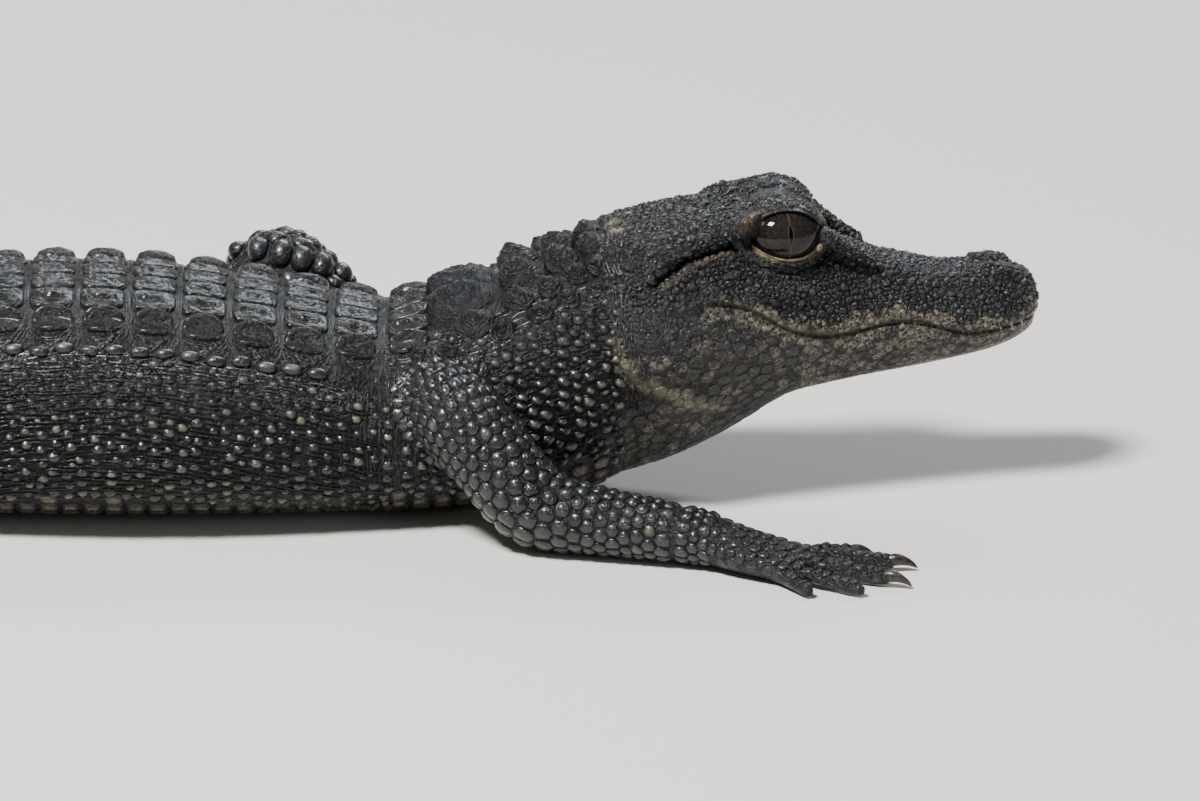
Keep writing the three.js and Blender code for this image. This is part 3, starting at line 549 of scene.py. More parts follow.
def away_from(points, line):
    """How far points lie from a line of points, and how far along it, 0 to 1."""
    best = np.full(len(points), 1e9)
    share = np.zeros(len(points))
    for i, (a, b) in enumerate(zip(line, line[1:])):
        way = b - a
        t = np.clip((points - a) @ way / (way @ way), 0, 1)
        gap = np.linalg.norm(points - a - t[:, None] * way, axis=1)
        closer = gap < best
        best[closer] = gap[closer]
        share[closer] = ((i + t) / (len(line) - 1))[closer]
    return best, share


EAR_SLIT_SEEN = [(742, 243), (722, 250), (700, 258), (682, 265), (664, 277), (650, 288)]
EAR_FOLD_SEEN = [(733, 252), (718, 257), (700, 264), (688, 273), (674, 283), (660, 291)]
JOWL_EDGE_SEEN = [(616, 345), (621, 360), (634, 376), (656, 389), (688, 402), (722, 406)]
SKULL_SPOT_SEEN = (617, 232)
skull_spot = seen_at([SKULL_SPOT_SEEN])[0]
ear_slit = seen_at(EAR_SLIT_SEEN)
ear_fold = seen_at(EAR_FOLD_SEEN)
jowl_edge = seen_at(JOWL_EDGE_SEEN)
mouth_line = through([
    (-12, 2), (6, 2.6), (14, 4.2), (19, 4.6), (24, 3.4), (29, 0.6), (34, -2.4), (40, -4.2), (46, -4.4),
    (52, -3.8), (58, -4), (63, -5.4), (68, -7), (73, -7.6), (79, -7.2), (85, -6.6), (90, -6.6),
])
MOUTH_CORNER = 15
EYE_LOOK = np.array((0.12, -0.96, 0.24)) / np.linalg.norm((0.12, -0.96, 0.24))
OPENING = (7.3, 5.0)
eye_ahead = np.array((1, 0, 0)) - EYE_LOOK * EYE_LOOK[0]
eye_ahead /= np.linalg.norm(eye_ahead)
eye_up = np.cross(EYE_LOOK, eye_ahead)
eye_up *= np.sign(eye_up[2])
RIGHT_EYE = np.array(EYE_AT) * (1, RIGHT, 1)
NOSE_BUMP = (76.5, -3.8, 2.6)
NOSTRIL = np.array([(74.6, -4.6, 2.9), (76, -4.9, 2.9), (77.4, -4.3, 2.7), (78.2, -3.3, 2.5)])
MOST_TRIANGLES = 192000  # that the hide may have


def folded_over(local):
    """Places of the head with the left side's carried over to the right."""
    return np.stack((local[:, 0], -np.abs(local[:, 1]), local[:, 2]), 1)


def eye_frame(local):
    """Places forward, up and out of the right eye, or of the left one for the left side's points."""
    out = folded_over(local) - RIGHT_EYE
    return out @ eye_ahead, out @ eye_up, out @ EYE_LOOK


# finer mesh where the face is finely formed
fine = bmesh.new()
fine.from_mesh(hide.data)
fine.verts.ensure_lookup_table()
local = to_head(points)
ahead, rise, out = eye_frame(local)
by_eye = (np.hypot(ahead / 11.5, rise / 9) < 1) & (out > -1)
by_mouth = np.abs(local[:, 2] - mouth_line(local[:, 0])) < 1.9
by_mouth &= (local[:, 0] > 11) & (np.abs(local[:, 1]) > 1)
folded = folded_over(local)
by_ear = away_from(folded, ear_slit)[0] < 3.6
by_nose = np.linalg.norm(folded - NOSE_BUMP, axis=1) < 4.4
wanted = by_eye | by_mouth | by_ear | by_nose
cut = [edge for edge in fine.edges if wanted[edge.verts[0].index] and wanted[edge.verts[1].index]]
bmesh.ops.subdivide_edges(fine, edges=cut, cuts=1, use_grid_fill=True)
bmesh.ops.triangulate(fine, faces=[face for face in fine.faces if len(face.verts) > 4])
fine.to_mesh(hide.data)
fine.free()

points = points_of(hide.data)
normals = normals_of(hide.data)
local = to_head(points)
folded = folded_over(local)
push = np.zeros(len(points))


def hump(x, width):
    return np.exp(-(x / width) ** 2)


# mouth: a fine groove, the upper lip a little proud of the lower one
below_line = local[:, 2] - mouth_line(local[:, 0])
past_corner = np.clip((local[:, 0] - MOUTH_CORNER) / 4, 0, 1)
off_middle = np.where(local[:, 0] > 80, 1, np.clip(np.abs(local[:, 1]) / 1.5, 0, 1))
groove = -0.85 * hump(below_line, 0.42)
upper_lip = 0.28 * hump(below_line - 1.3, 1.0)
lower_lip = 0.22 * hump(below_line + 1.2, 0.9)
push += past_corner * off_middle * (groove + upper_lip - lower_lip)
# ear: a dark slit under the edge of the skull table, a fold below it
gap, share = away_from(folded, ear_slit)
push -= 2.0 * hump(gap, 0.85) * np.clip(np.sin(math.pi * np.clip(share, 0.04, 0.96)) * 3, 0, 1)
above = ear_slit + (0, 0.5, 2.6)
push += 0.9 * hump(away_from(folded, above)[0], 1.7)
gap, share = away_from(folded, ear_fold)
push += 0.75 * hump(gap, 0.8) * np.sin(math.pi * share) ** 0.5
# jowl edge: rounded out
push += 0.6 * hump(away_from(folded, jowl_edge)[0], 1.6)
# nostrils: a crescent slit on each bump
gap = away_from(folded, NOSTRIL)[0]
push -= 1.5 * hump(gap, 0.6) * (local[:, 0] > 70)
push += 0.5 * hump(gap - 1.3, 0.7) * (local[:, 0] > 70)
# lids: soft folds round the eye
ahead, rise, out = eye_frame(local)
rho = np.hypot(ahead / OPENING[0], rise / OPENING[1])
round_eye = (out > 0) & (rho < 2.6)
lid_folds = 0.22 * np.cos((rho - 1.25) * 2 * math.pi / 0.42) * hump(rho - 1.5, 0.4) * (rise < 1.5)
push += np.where(round_eye, lid_folds, 0)
points += normals * push[:, None]
# the hollow that the eyeball sits in
side = np.sign(local[:, 1])
socket = np.clip((1.22 - rho) / 0.12, 0, 1) * round_eye
local = to_head(points)
inner = np.array(EYE_AT) * (1, 0, 1) + np.stack((0 * side, EYE_AT[1] * side, 0 * side), 1)
pulled = inner + (local - inner) * 0.6
local = local + (pulled - local) * socket[:, None]
points = to_world(local)
points[:, 2] = np.maximum(points[:, 2], FLOOR_GAP)
hide.data.vertices.foreach_set("co", points.ravel())
hide.data.update()
thin = hide.modifiers.new("fewer faces", "DECIMATE")
faces = sum(len(poly.vertices) - 2 for poly in hide.data.polygons)
thin.ratio = min(1.0, MOST_TRIANGLES / faces)
apply_modifiers(hide)
hide_tree = tree_of(hide)
hide_points = points_of(hide.data)
hide_normals = eased(normals_of(hide.data), edges_of(hide.data), 6)
hide_normals /= np.linalg.norm(hide_normals, axis=1, keepdims=True) + 1e-12
hide_faces = [poly.vertices[:] for poly in hide.data.polygons]


# The lids: a rolled ring of soft skin round each eye, with small beads at its corners. It is shaped over
# the ball at its inner edge and eased down into the hide at its outer one.
EYEBALL = (7.8, 6.2, 7.0)  # half its length, height and depth
LID_RING = 128
LID_THICK = 0.9
# how far out from the opening each line of the lid lies, as a share, and how far it stands up
LID_LINES = [
    (0.90, -0.6), (0.95, 0.0), (0.975, 0.4), (1.0, 0.58), (1.03, 0.52), (1.06, 0.28), (1.09, 0.12),
    (1.13, 0.3), (1.17, 0.46), (1.21, 0.34), (1.25, 0.16), (1.3, 0.3), (1.35, 0.34), (1.4, 0.18),
    (1.46, 0.16), (1.52, -0.1), (1.6, -0.7),
]
LID_WIDTH_SHARE = 0.7  # the lid spreads less along the head than up and down it


def eyeball_at(ahead, rise):
    """Height of the ball over the eye's own plane."""
    long, high, deep = EYEBALL
    return deep * np.sqrt(np.clip(1 - (ahead / long) ** 2 - (rise / high) ** 2, 0, 1))


def eye_point(ahead, rise, out):
    """The place in the head so far forward, up and out of the right eye."""
    return RIGHT_EYE + eye_ahead * ahead[..., None] + eye_up * rise[..., None] + EYE_LOOK * out[..., None]


def skin_at(ahead, rise):
    """Height of the plain hide over the eye's own plane."""
    start = to_world(eye_point(ahead, rise, np.full(ahead.shape, 30.0)))
    way = Vector(-(np.array(head_place.to_3x3()) @ EYE_LOOK))
    out = np.zeros(ahead.shape)
    for spot in np.ndindex(ahead.shape):
        hit, _, _, away = plain_tree.ray_cast(Vector(start[spot]), way)
        out[spot] = 30 - away if hit is not None else 0
    return out


def piece_from(mesh, name):
    """An object from a finished mesh, its faces turned outward."""
    bmesh.ops.recalc_face_normals(mesh, faces=mesh.faces)
    data = bpy.data.meshes.new(name)
    mesh.to_mesh(data)
    mesh.free()
    thing = bpy.data.objects.new(name, data)
    bpy.context.scene.collection.objects.link(thing)
    return thing


turn = np.linspace(0, 2 * math.pi, LID_RING, endpoint=False)[:, None]
reach, stand = np.array(LID_LINES).T[:, None]
up_lid, low_lid = np.clip(np.sin(turn), 0, 1), np.clip(-np.sin(turn), 0, 1)
corner = np.abs(np.cos(turn))
ahead = OPENING[0] * np.cos(turn) * (1 + 0.1 * corner ** 6) * (1 + (reach - 1) * LID_WIDTH_SHARE)
rise = OPENING[1] * np.sin(turn) * (0.98 - 0.1 * corner ** 3) * reach - 0.35 * np.cos(turn)
shrink = 1 + (reach - 1) * 0.5
ball = eyeball_at(ahead / shrink, rise / shrink)
share = np.clip((reach - 0.99) / 0.36, 0, 1)
share = share * share * (3 - 2 * share)
folds_in = 1 + 0.25 * np.sin(turn * 5 + reach * 9) + 0.15 * np.sin(turn * 13)
out = (ball + 0.25) * (1 - share) + skin_at(ahead, rise) * share + stand * (0.8 + 0.35 * low_lid) * folds_in
out = out + 0.6 * up_lid * hump(reach - 1.02, 0.09)
over = eye_point(ahead, rise, out)
under = eye_point(ahead, rise, out - LID_THICK)
section = np.concatenate((over, under[:, ::-1]), axis=1)
# beads at the corners: place ahead and up, half sizes, slant
CORNER_BEADS = (
    (-7.0, -3.1, 1.1, 0.75, -0.5), (-5.8, -3.8, 0.7, 0.5, -0.5), (6.3, -3.0, 0.95, 0.7, 0.7),
    (7.4, -1.8, 0.65, 0.5, 1.0), (7.3, 2.4, 1.1, 0.65, -0.9), (8.0, 0.5, 0.55, 0.45, -1.2),
    (-7.4, 2.6, 0.8, 0.5, 0.6), (-6.2, 3.6, 0.7, 0.45, 0.7),
)
lids = bmesh.new()
corner_beads = bmesh.new()
for side in (LEFT, RIGHT):
    flip = np.array((1, -side, 1))
    wrapped(lids, to_world(section * flip), LID_RING)
    for along, up, long, wide, slant in CORNER_BEADS:
        spot = np.array([[float(along)]]), np.array([[float(up)]])
        stand_out = float(0.5 * skin_at(*spot)[0, 0] + 0.5 * eyeball_at(*spot)[0, 0])
        stand_out = max(stand_out, float(eyeball_at(*spot)[0, 0])) + 0.3
        middle = to_world(eye_point(*spot, np.array([[stand_out]]))[0, 0] * flip)
        bead = bmesh.ops.create_uvsphere(corner_beads, u_segments=16, v_segments=10, radius=1)["verts"]
        bmesh.ops.scale(corner_beads, vec=(long, wide, wide), verts=bead)
        way = (eye_ahead * math.cos(slant) + eye_up * math.sin(slant)) * flip
        turned = Vector(np.array(head_place.to_3x3()) @ way).to_track_quat("X", "Z").to_matrix().to_4x4()
        bmesh.ops.transform(corner_beads, matrix=Matrix.Translation(middle) @ turned, verts=bead)
lids = piece_from(lids, "eyelids")
corner_beads = piece_from(corner_beads, "lid_beads")

# scales are laid on the hide, and by the eyes on the lids' outer skin instead
ahead, rise, out = eye_frame(to_head(hide_points))
under_lid = (np.hypot(ahead / OPENING[0], rise / OPENING[1]) < 1.5) & (out > -1.5)
lid_points = points_of(lids.data)
lid_normals = normals_of(lids.data)
head_turn = np.array(head_place.to_3x3())
left_look, right_look = head_turn @ (EYE_LOOK * (1, -1, 1)), head_turn @ EYE_LOOK
outward = np.where((to_head(lid_points)[:, 1] > 0)[:, None], left_look, right_look)
upper = set(((lid_normals * outward).sum(axis=1) > -0.2).nonzero()[0].tolist())
hide_faces = [face for face in hide_faces if not all(under_lid[list(face)])]
first = len(hide_points)
lid_tops = [poly.vertices for poly in lids.data.polygons if set(poly.vertices) <= upper]
hide_faces += [tuple(first + v for v in face) for face in lid_tops]
hide_points = np.concatenate((hide_points, lid_points))
hide_normals = np.concatenate((hide_normals, lid_normals))
hide_tree = BVHTree.FromPolygons(hide_points.tolist(), hide_faces)


# The hide's colour: near-black horny skin, worn grey in patches, mottled with cream on the jaws, cream under
# the throat and belly, with painted shade darkening the seams between the scales. It is painted by place and
# by numbers that every piece of skin carries at its points.
def marks(points):
    """How much of jaw mottling, paleness and warm colour lies at each point."""
    local = to_head(points)
    x, y, z = local.T
    folded = folded_over(local)
    below = z - mouth_line(x)
    on_head = np.clip((x + 3) / 3, 0, 1) * (np.abs(y) < 27) * (z > -36)
    lip_top = 3.9 + 0.9 * np.sin(x * 0.7) + 0.6 * np.sin(x * 1.9 + 1) - 2.2 * np.clip((34 - x) / 12, 0, 1)
    lip = np.clip((lip_top - below) / 1.4, 0, 1) * np.clip((x - 12) / 5, 0, 1)
    lip *= np.clip((below + 4) / 2, 0, 1)
    chin = 0.72 * np.clip((-below - 0.5) / 2, 0, 1) * np.clip((x - 26) / 12, 0, 1)
    cheek = 0.5 * np.clip((-below + 0.5) / 3, 0, 1) * np.clip((x + 4) / 3, 0, 1)
    jaw = on_head * np.maximum(np.maximum(0.8 * lip, 0.9 * chin), 0.94 * cheek)
    pale = 0.9 * hump(away_from(folded, jowl_edge)[0], 1.3) * on_head
    lip_rim = 0.55 * hump(below - 0.55, 0.5) * np.clip((x - 19) / 4, 0, 1) * np.clip((58 - x) / 8, 0, 1)
    pale = np.maximum(pale, lip_rim)
    gap, share = away_from(folded, ear_fold)
    thinning = np.sin(math.pi * np.clip(share, 0.02, 0.98)) ** 0.4
    warm = 0.22 * hump(gap, 0.6) * thinning
    pale = np.maximum(pale, 0.3 * hump(gap, 0.8) * thinning)
    ahead, rise, out = eye_frame(local)
    ring = np.hypot(ahead / OPENING[0], rise / OPENING[1])
    patches = 2.5 * np.sin(ahead * 4.1 + rise * 2) * np.sin(rise * 4.7 - ahead * 1.3)
    patches = np.clip(patches + 0.6, 0, 1) * (out > 0)
    broken = 0.5 + 0.5 * np.sin(ahead * 5.1 + 2 * np.sin(rise * 3.7)) * np.sin(rise * 4.3 + out * 2.9)
    flecks = patches * np.clip((broken - 0.35) / 0.2, 0, 1) * np.clip((5.6 - rise) / 1.0, 0, 1)
    flecks *= np.clip((-ahead - 2.6) / 1.2, 0, 1) * np.clip((rise - 1.2) / 0.8, 0, 1)
    flecks *= hump(ring - 1.28, 0.17)
    warm = np.maximum(warm, 0.8 * flecks * np.clip((out - 2) / 1.5, 0, 1))
    pale = np.maximum(pale, 0.7 * hump(np.hypot(ahead - 7.6, rise - 2.6), 1.1) * (out > 0))
    pale = np.maximum(pale, hump(np.linalg.norm(folded - skull_spot, axis=1), 1.5))
    low = np.clip((5 - points[:, 2]) / 5, 0, 1) * (points[:, 0] < 120) * (np.abs(points[:, 1]) < 36)
    pale = np.maximum(pale, 0.45 * low)
    return jaw, pale, warm


def dress(mesh, shade, top, cream):
    """Writes the numbers that the hide's colour reads, at every point of a mesh still in millimetres; where
    top is low the colour is darkened with painted shade.
    """
    jaw, pale, warm = marks(points_of(mesh))
    values = {"shade": shade, "top": top, "cream": np.maximum(cream, pale), "jaw": jaw, "warm": warm}
    for name, value in values.items():
        attribute = mesh.attributes.new(name, "FLOAT", "POINT")
        attribute.data.foreach_set("value", np.broadcast_to(value, (len(mesh.vertices),)).astype(np.float32))


def new_paint(name):
    """A new material, with its tree and its skin node."""
    paint = bpy.data.materials.new(name)
    paint.use_nodes = True
    return paint, paint.node_tree, paint.node_tree.nodes["Principled BSDF"]


def feed(tree, socket, value):
    """Gives a socket a link, a number or a colour."""
    if isinstance(value, bpy.types.NodeSocket):
        tree.links.new(value, socket)
    else:
        socket.default_value = value if not isinstance(value, tuple) else (*value, 1)


def maths(tree, way, *values):
    node = tree.nodes.new("ShaderNodeMath")
    node.operation = way
    for socket, value in zip(node.inputs, values):
        feed(tree, socket, value)
    return node.outputs[0]


def ramp(tree, source, *stops):
    """A run of colours, or of greys given as one number."""
    node = tree.nodes.new("ShaderNodeValToRGB")
    stop = node.color_ramp.elements
    while len(stop) < len(stops):
        stop.new(0.5)
    for element, (at, colour) in zip(stop, stops):
        element.position = at
        element.color = (*(colour if isinstance(colour, tuple) else (colour,) * 3), 1)
    tree.links.new(source, node.inputs["Fac"])
    return node.outputs["Color"]


def mix(tree, share, a, b, way="MIX"):
    node = tree.nodes.new("ShaderNodeMix")
    node.data_type = "RGBA"
    node.blend_type = way
    for socket, value in ((node.inputs["Factor"], share), (node.inputs[6], a), (node.inputs[7], b)):
        feed(tree, socket, value)
    return node.outputs[2]


def noise(tree, place, scale, detail=2, rough=0.5, stretch=None):
    node = tree.nodes.new("ShaderNodeTexNoise")
    node.inputs["Scale"].default_value = scale
    node.inputs["Detail"].default_value = detail
    node.inputs["Roughness"].default_value = rough
    if stretch:
        mapping = tree.nodes.new("ShaderNodeMapping")
        mapping.inputs["Scale"].default_value = stretch
        tree.links.new(place, mapping.inputs["Vector"])
        place = mapping.outputs["Vector"]
    tree.links.new(place, node.inputs["Vector"])
    return node.outputs["Fac"]


def carried(tree, name):
    """A number that the piece carries at its points."""
    node = tree.nodes.new("ShaderNodeAttribute")
    node.attribute_name = name
    return node.outputs["Fac"]


COAL = (0.004, 0.004, 0.0045)
CHARCOAL = (0.0075, 0.008, 0.0085)
WORN_GREY = (0.014, 0.0155, 0.018)
BLUE_BLOOM = (0.014, 0.017, 0.0215)
JAW_TAN = (0.075, 0.063, 0.048)
JAW_CREAM = (0.165, 0.14, 0.105)
JAW_BLACK = (0.01, 0.01, 0.0105)
PORE_BLACK = (0.008, 0.0075, 0.0075)
DULL_CREAM = (0.11, 0.095, 0.056)
CREAM = (0.28, 0.245, 0.16)
AMBER = (0.24, 0.135, 0.03)
COAT_ROUGHNESS = 0.16
RING_RATE = 9.0
RING_WAVER = 26.0


def hide_material(name, gloss, grain_depth=0.0005):
    """Scaly hide, painted by place on the animal and by the numbers at each point."""
    paint, tree, skin = new_paint(name)
    skin.inputs["Specular IOR Level"].default_value = 0.36
    skin.inputs["Coat Weight"].default_value = gloss
    skin.inputs["Coat Roughness"].default_value = COAT_ROUGHNESS
    place = tree.nodes.new("ShaderNodeTexCoord").outputs["Object"]
    # charcoal with a blue-grey bloom, patchy from scale to scale
    blotch = noise(tree, place, 120, 4, 0.6)
    colour = ramp(tree, blotch, (0.3, COAL), (0.52, CHARCOAL), (0.74, WORN_GREY))
    colour = mix(tree, ramp(tree, carried(tree, "shade"), (0.3, 0), (1, 0.8)), colour, BLUE_BLOOM)
    # jaws: cream-tan ground, broken by black blotches that merge towards the jowl, with black pore dots
    ground = ramp(tree, noise(tree, place, 900, 3, 0.6), (0.3, JAW_TAN), (0.7, JAW_CREAM))
    broken = mix(tree, 0.3, noise(tree, place, 230, 4, 0.7), carried(tree, "jaw"))
    mottled = mix(tree, ramp(tree, broken, (0.5, 1), (0.555, 0)), ground, JAW_BLACK)
    pores = tree.nodes.new("ShaderNodeTexVoronoi")
    pores.inputs["Scale"].default_value = 1350
    tree.links.new(place, pores.inputs["Vector"])
    dots = ramp(tree, pores.outputs["Distance"], (0.36, 1), (0.45, 0))
    mottled = mix(tree, dots, mottled, PORE_BLACK)
    colour = mix(tree, ramp(tree, carried(tree, "jaw"), (0.12, 0), (0.4, 1)), colour, mottled)
    cream = ramp(tree, noise(tree, place, 700, 2, 0.6), (0.3, DULL_CREAM), (0.7, CREAM))
    colour = mix(tree, carried(tree, "cream"), colour, cream)
    colour = mix(tree, carried(tree, "warm"), colour, AMBER)
    # painted shade: the seams between scales, and each scale's rim where it sinks into them, are darkened
    # where top is low
    seam = ramp(tree, carried(tree, "top"), (0.0, 0.3), (0.45, 1.0))
    colour = mix(tree, 1.0, colour, seam, "MULTIPLY")
    tree.links.new(colour, skin.inputs["Base Color"])
    roughness = ramp(tree, noise(tree, place, 420, 3, 0.6), (0.3, 0.22), (0.7, 0.42))
    tree.links.new(roughness, skin.inputs["Roughness"])
    # fine wrinkles and grain
    bump = tree.nodes.new("ShaderNodeBump")
    bump.inputs["Strength"].default_value = 1.0
    bump.inputs["Distance"].default_value = grain_depth
    crinkles = tree.nodes.new("ShaderNodeTexNoise")
    crinkles.noise_type = "RIDGED_MULTIFRACTAL"
    crinkles.inputs["Scale"].default_value = 520
    crinkles.inputs["Detail"].default_value = 3
    tree.links.new(place, crinkles.inputs["Vector"])
    fine_grain = noise(tree, place, 1300, 5, 0.7, stretch=(0.5, 1, 1))
    grain = mix(tree, 0.4, fine_grain, crinkles.outputs["Fac"], "ADD")
    # growth rings on the big shields, wavering
    waver = maths(tree, "MULTIPLY", noise(tree, place, 420, 4, 0.6), RING_WAVER)
    turn = maths(tree, "MULTIPLY_ADD", carried(tree, "ring"), RING_RATE, waver)
    grain = mix(tree, 0.26, grain, maths(tree, "SINE", turn))
    tree.links.new(grain, bump.inputs["Height"])
    tree.links.new(bump.outputs["Normal"], skin.inputs["Normal"])
    return paint


# painted shade: the bare hide is darkened to about half, so that the seams between scales look shaded
SEAM_PAINTED_SHADE = 0.12  # the bare hide shows in the seams between scales
hide_paint = hide_material("hide", 0.0)
scale_paint = hide_material("scales", 0.25)
glossy_paint = hide_material("glossy scales", 0.5, 0.00016)
dress(hide.data, 0.15, SEAM_PAINTED_SHADE, 0.0)


def finish_piece(thing, slot, paint, *nodes):
    """Sets a piece made in millimetres down at its real size, paints it, and fixes it to the animal."""
    thing.data.transform(Matrix.Scale(MM, 4))
    thing.data.materials.clear()
    thing.data.materials.append(paint)
    for poly in thing.data.polygons:
        poly.use_smooth = True
    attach(thing, "root")
    if nodes:
        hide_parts(*nodes)


flesh_nodes = [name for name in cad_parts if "claw" not in name and "eye" not in name]
finish_piece(hide, "skin", hide_paint, *flesh_nodes)

ahead, rise, out = eye_frame(to_head(points_of(lids.data)))
rho = np.hypot(ahead / (OPENING[0] * 1.04), (rise + 0.35 * ahead / 8) / OPENING[1])
lower_rim = np.clip((-rise - 0.6) / 1.2, 0, 1)
dress(lids.data, 0.1, 0.6, 0.95 * hump(rho - 0.99, 0.055) * lower_rim)
lid_warm = np.empty(len(lids.data.vertices), np.float32)
lids.data.attributes["warm"].data.foreach_get("value", lid_warm)
lid_warm = np.maximum(lid_warm, 0.75 * hump(rho - 1.055, 0.03) * lower_rim)
lids.data.attributes["warm"].data.foreach_set("value", lid_warm.astype(np.float32))
finish_piece(lids, "skin", scale_paint)
dress(corner_beads.data, 0.5, 1.0, 0.9)
finish_piece(corner_beads, "skin", scale_paint)


# The back shields: horny plates about ten millimetres long in cross rows on the back, three each side of
# the spine and the outer one strongly keeled. Each is bone in the skin under horn, grown in rings and
# laid edge to edge. All scales are first laid, the large ones before the small, and grown together once
# every neighbour is known.
laid = {"at": [], "up": [], "fore": [], "long": [], "wide": [], "square": []}
groups = {}
filled = {}
CUBE = 4.0
BIG_SCALE = 1.9
random = np.random.default_rng(7)


def scales_round(p, reach):
    """The scales already laid in the cubes within reach of a place."""
    lo = np.floor((p - reach) / CUBE).astype(int)
    hi = np.floor((p + reach) / CUBE).astype(int)
    for i in range(lo[0], hi[0] + 1):
        for j in range(lo[1], hi[1] + 1):
            for k in range(lo[2], hi[2] + 1):
                yield from filled.get((i, j, k), ())


def crowded(p, size, crowd, q, their_size, ahead, side, long, wide, square):
    """Is there too little room at p for a scale of that size next to the one at q?"""
    gap = p - q
    away = math.sqrt(gap @ gap) + 1e-9
    if their_size < BIG_SCALE or size > BIG_SCALE:
        return away < crowd * (size + their_size)
    u = abs(gap @ ahead) / away / long
    v = abs(gap @ side) / away / wide
    return away < (u ** square + v ** square) ** (-1 / square) + 0.6 * size


def lay(group, at, fore, long, wide, high, chart, square=2.2, cream=0.0, shade=None, crowd=0.7,
        reach=2.5):
    """Sets scales of a group on the hide where they find room: half sizes, height and place on the chart."""
    at = np.asarray(at, float).reshape(-1, 3)
    count = len(at)
    fore, chart = np.broadcast_to(fore, (count, 3)), np.broadcast_to(chart, (count, 2))
    same_for_all = (long, wide, high, square, cream)
    long, wide, high, square, cream = [np.broadcast_to(value, (count,)) for value in same_for_all]
    shade = random.random(count) if shade is None else np.broadcast_to(shade, (count,))
    rows = groups.setdefault(group, [])
    for i in range(count):
        hit, _, face, away = hide_tree.find_nearest(Vector(at[i]))
        if hit is None or away > reach:
            continue
        p = np.array(hit)
        size = math.sqrt(long[i] * wide[i])
        if any(crowded(p, size, crowd, *other) for other in scales_round(p, size + 8)):
            continue
        up = hide_normals[list(hide_faces[face])].sum(axis=0)
        up /= np.linalg.norm(up)
        forward = fore[i] - up * (fore[i] @ up)
        forward /= np.linalg.norm(forward) + 1e-9
        filled.setdefault(tuple(np.floor(p / CUBE).astype(int)), []).append(
            (p, size, forward, np.cross(up, forward), long[i], wide[i], square[i]))
        for name, value in zip(laid, (p, up, forward, long[i], wide[i], square[i])):
            laid[name].append(value)
        rows.append((len(laid["at"]) - 1, high[i], cream[i], shade[i], *chart[i]))


CHART_PATCH = 0.0015  # each scale's patch of the chart, as a share of the whole
SCALE_FLOOR_GAP = 0.01


def edge_reach(cos, sin, long, wide, square):
    """How far a scale's own edge lies from its middle, in a direction."""
    return ((np.abs(cos) / long) ** square + (np.abs(sin) / wide) ** square + 1e-12) ** (-1 / square)


def spread(ids, cos, sin, seam, others):
    """How far each scale reaches in each direction: to its own edge, or to the seam with a neighbour."""
    at, up, fore, long, wide, square = [np.array(laid[name]) for name in laid]
    side = np.cross(up, fore)
    near_ids = np.array([[hit[1] for hit in scale_tree.find_n(at[i], others + 1)][1:] for i in ids])
    apart = at[near_ids] - at[ids][:, None]
    x = (apart * fore[ids][:, None]).sum(-1)
    y = (apart * side[ids][:, None]).sum(-1)
    gap = np.hypot(x, y) + 1e-9
    mine = edge_reach(x / gap, y / gap, long[ids, None], wide[ids, None], square[ids, None])
    x2 = (apart * fore[near_ids]).sum(-1)
    y2 = (apart * side[near_ids]).sum(-1)
    gap2 = np.hypot(x2, y2) + 1e-9
    theirs = edge_reach(x2 / gap2, y2 / gap2, long[near_ids], wide[near_ids], square[near_ids])
    wall = np.maximum(gap * mine / (mine + theirs) - seam / 2, 0.08)
    size = np.sqrt(long * wide)
    passed_by = (up[near_ids] * up[ids][:, None]).sum(-1) < 0.1
    passed_by |= size[near_ids] < 0.45 * size[ids][:, None]
    own = edge_reach(cos, sin, long[ids, None], wide[ids, None], square[ids, None])
    facing = (x[..., None] * cos + y[..., None] * sin) / gap[..., None]
    limit = np.where((facing > 0.08) & ~passed_by[..., None], wall[..., None] / np.maximum(facing, 0.08), 1e3)
    return (own ** -9 + (limit ** -9).sum(axis=1)) ** (-1 / 9)


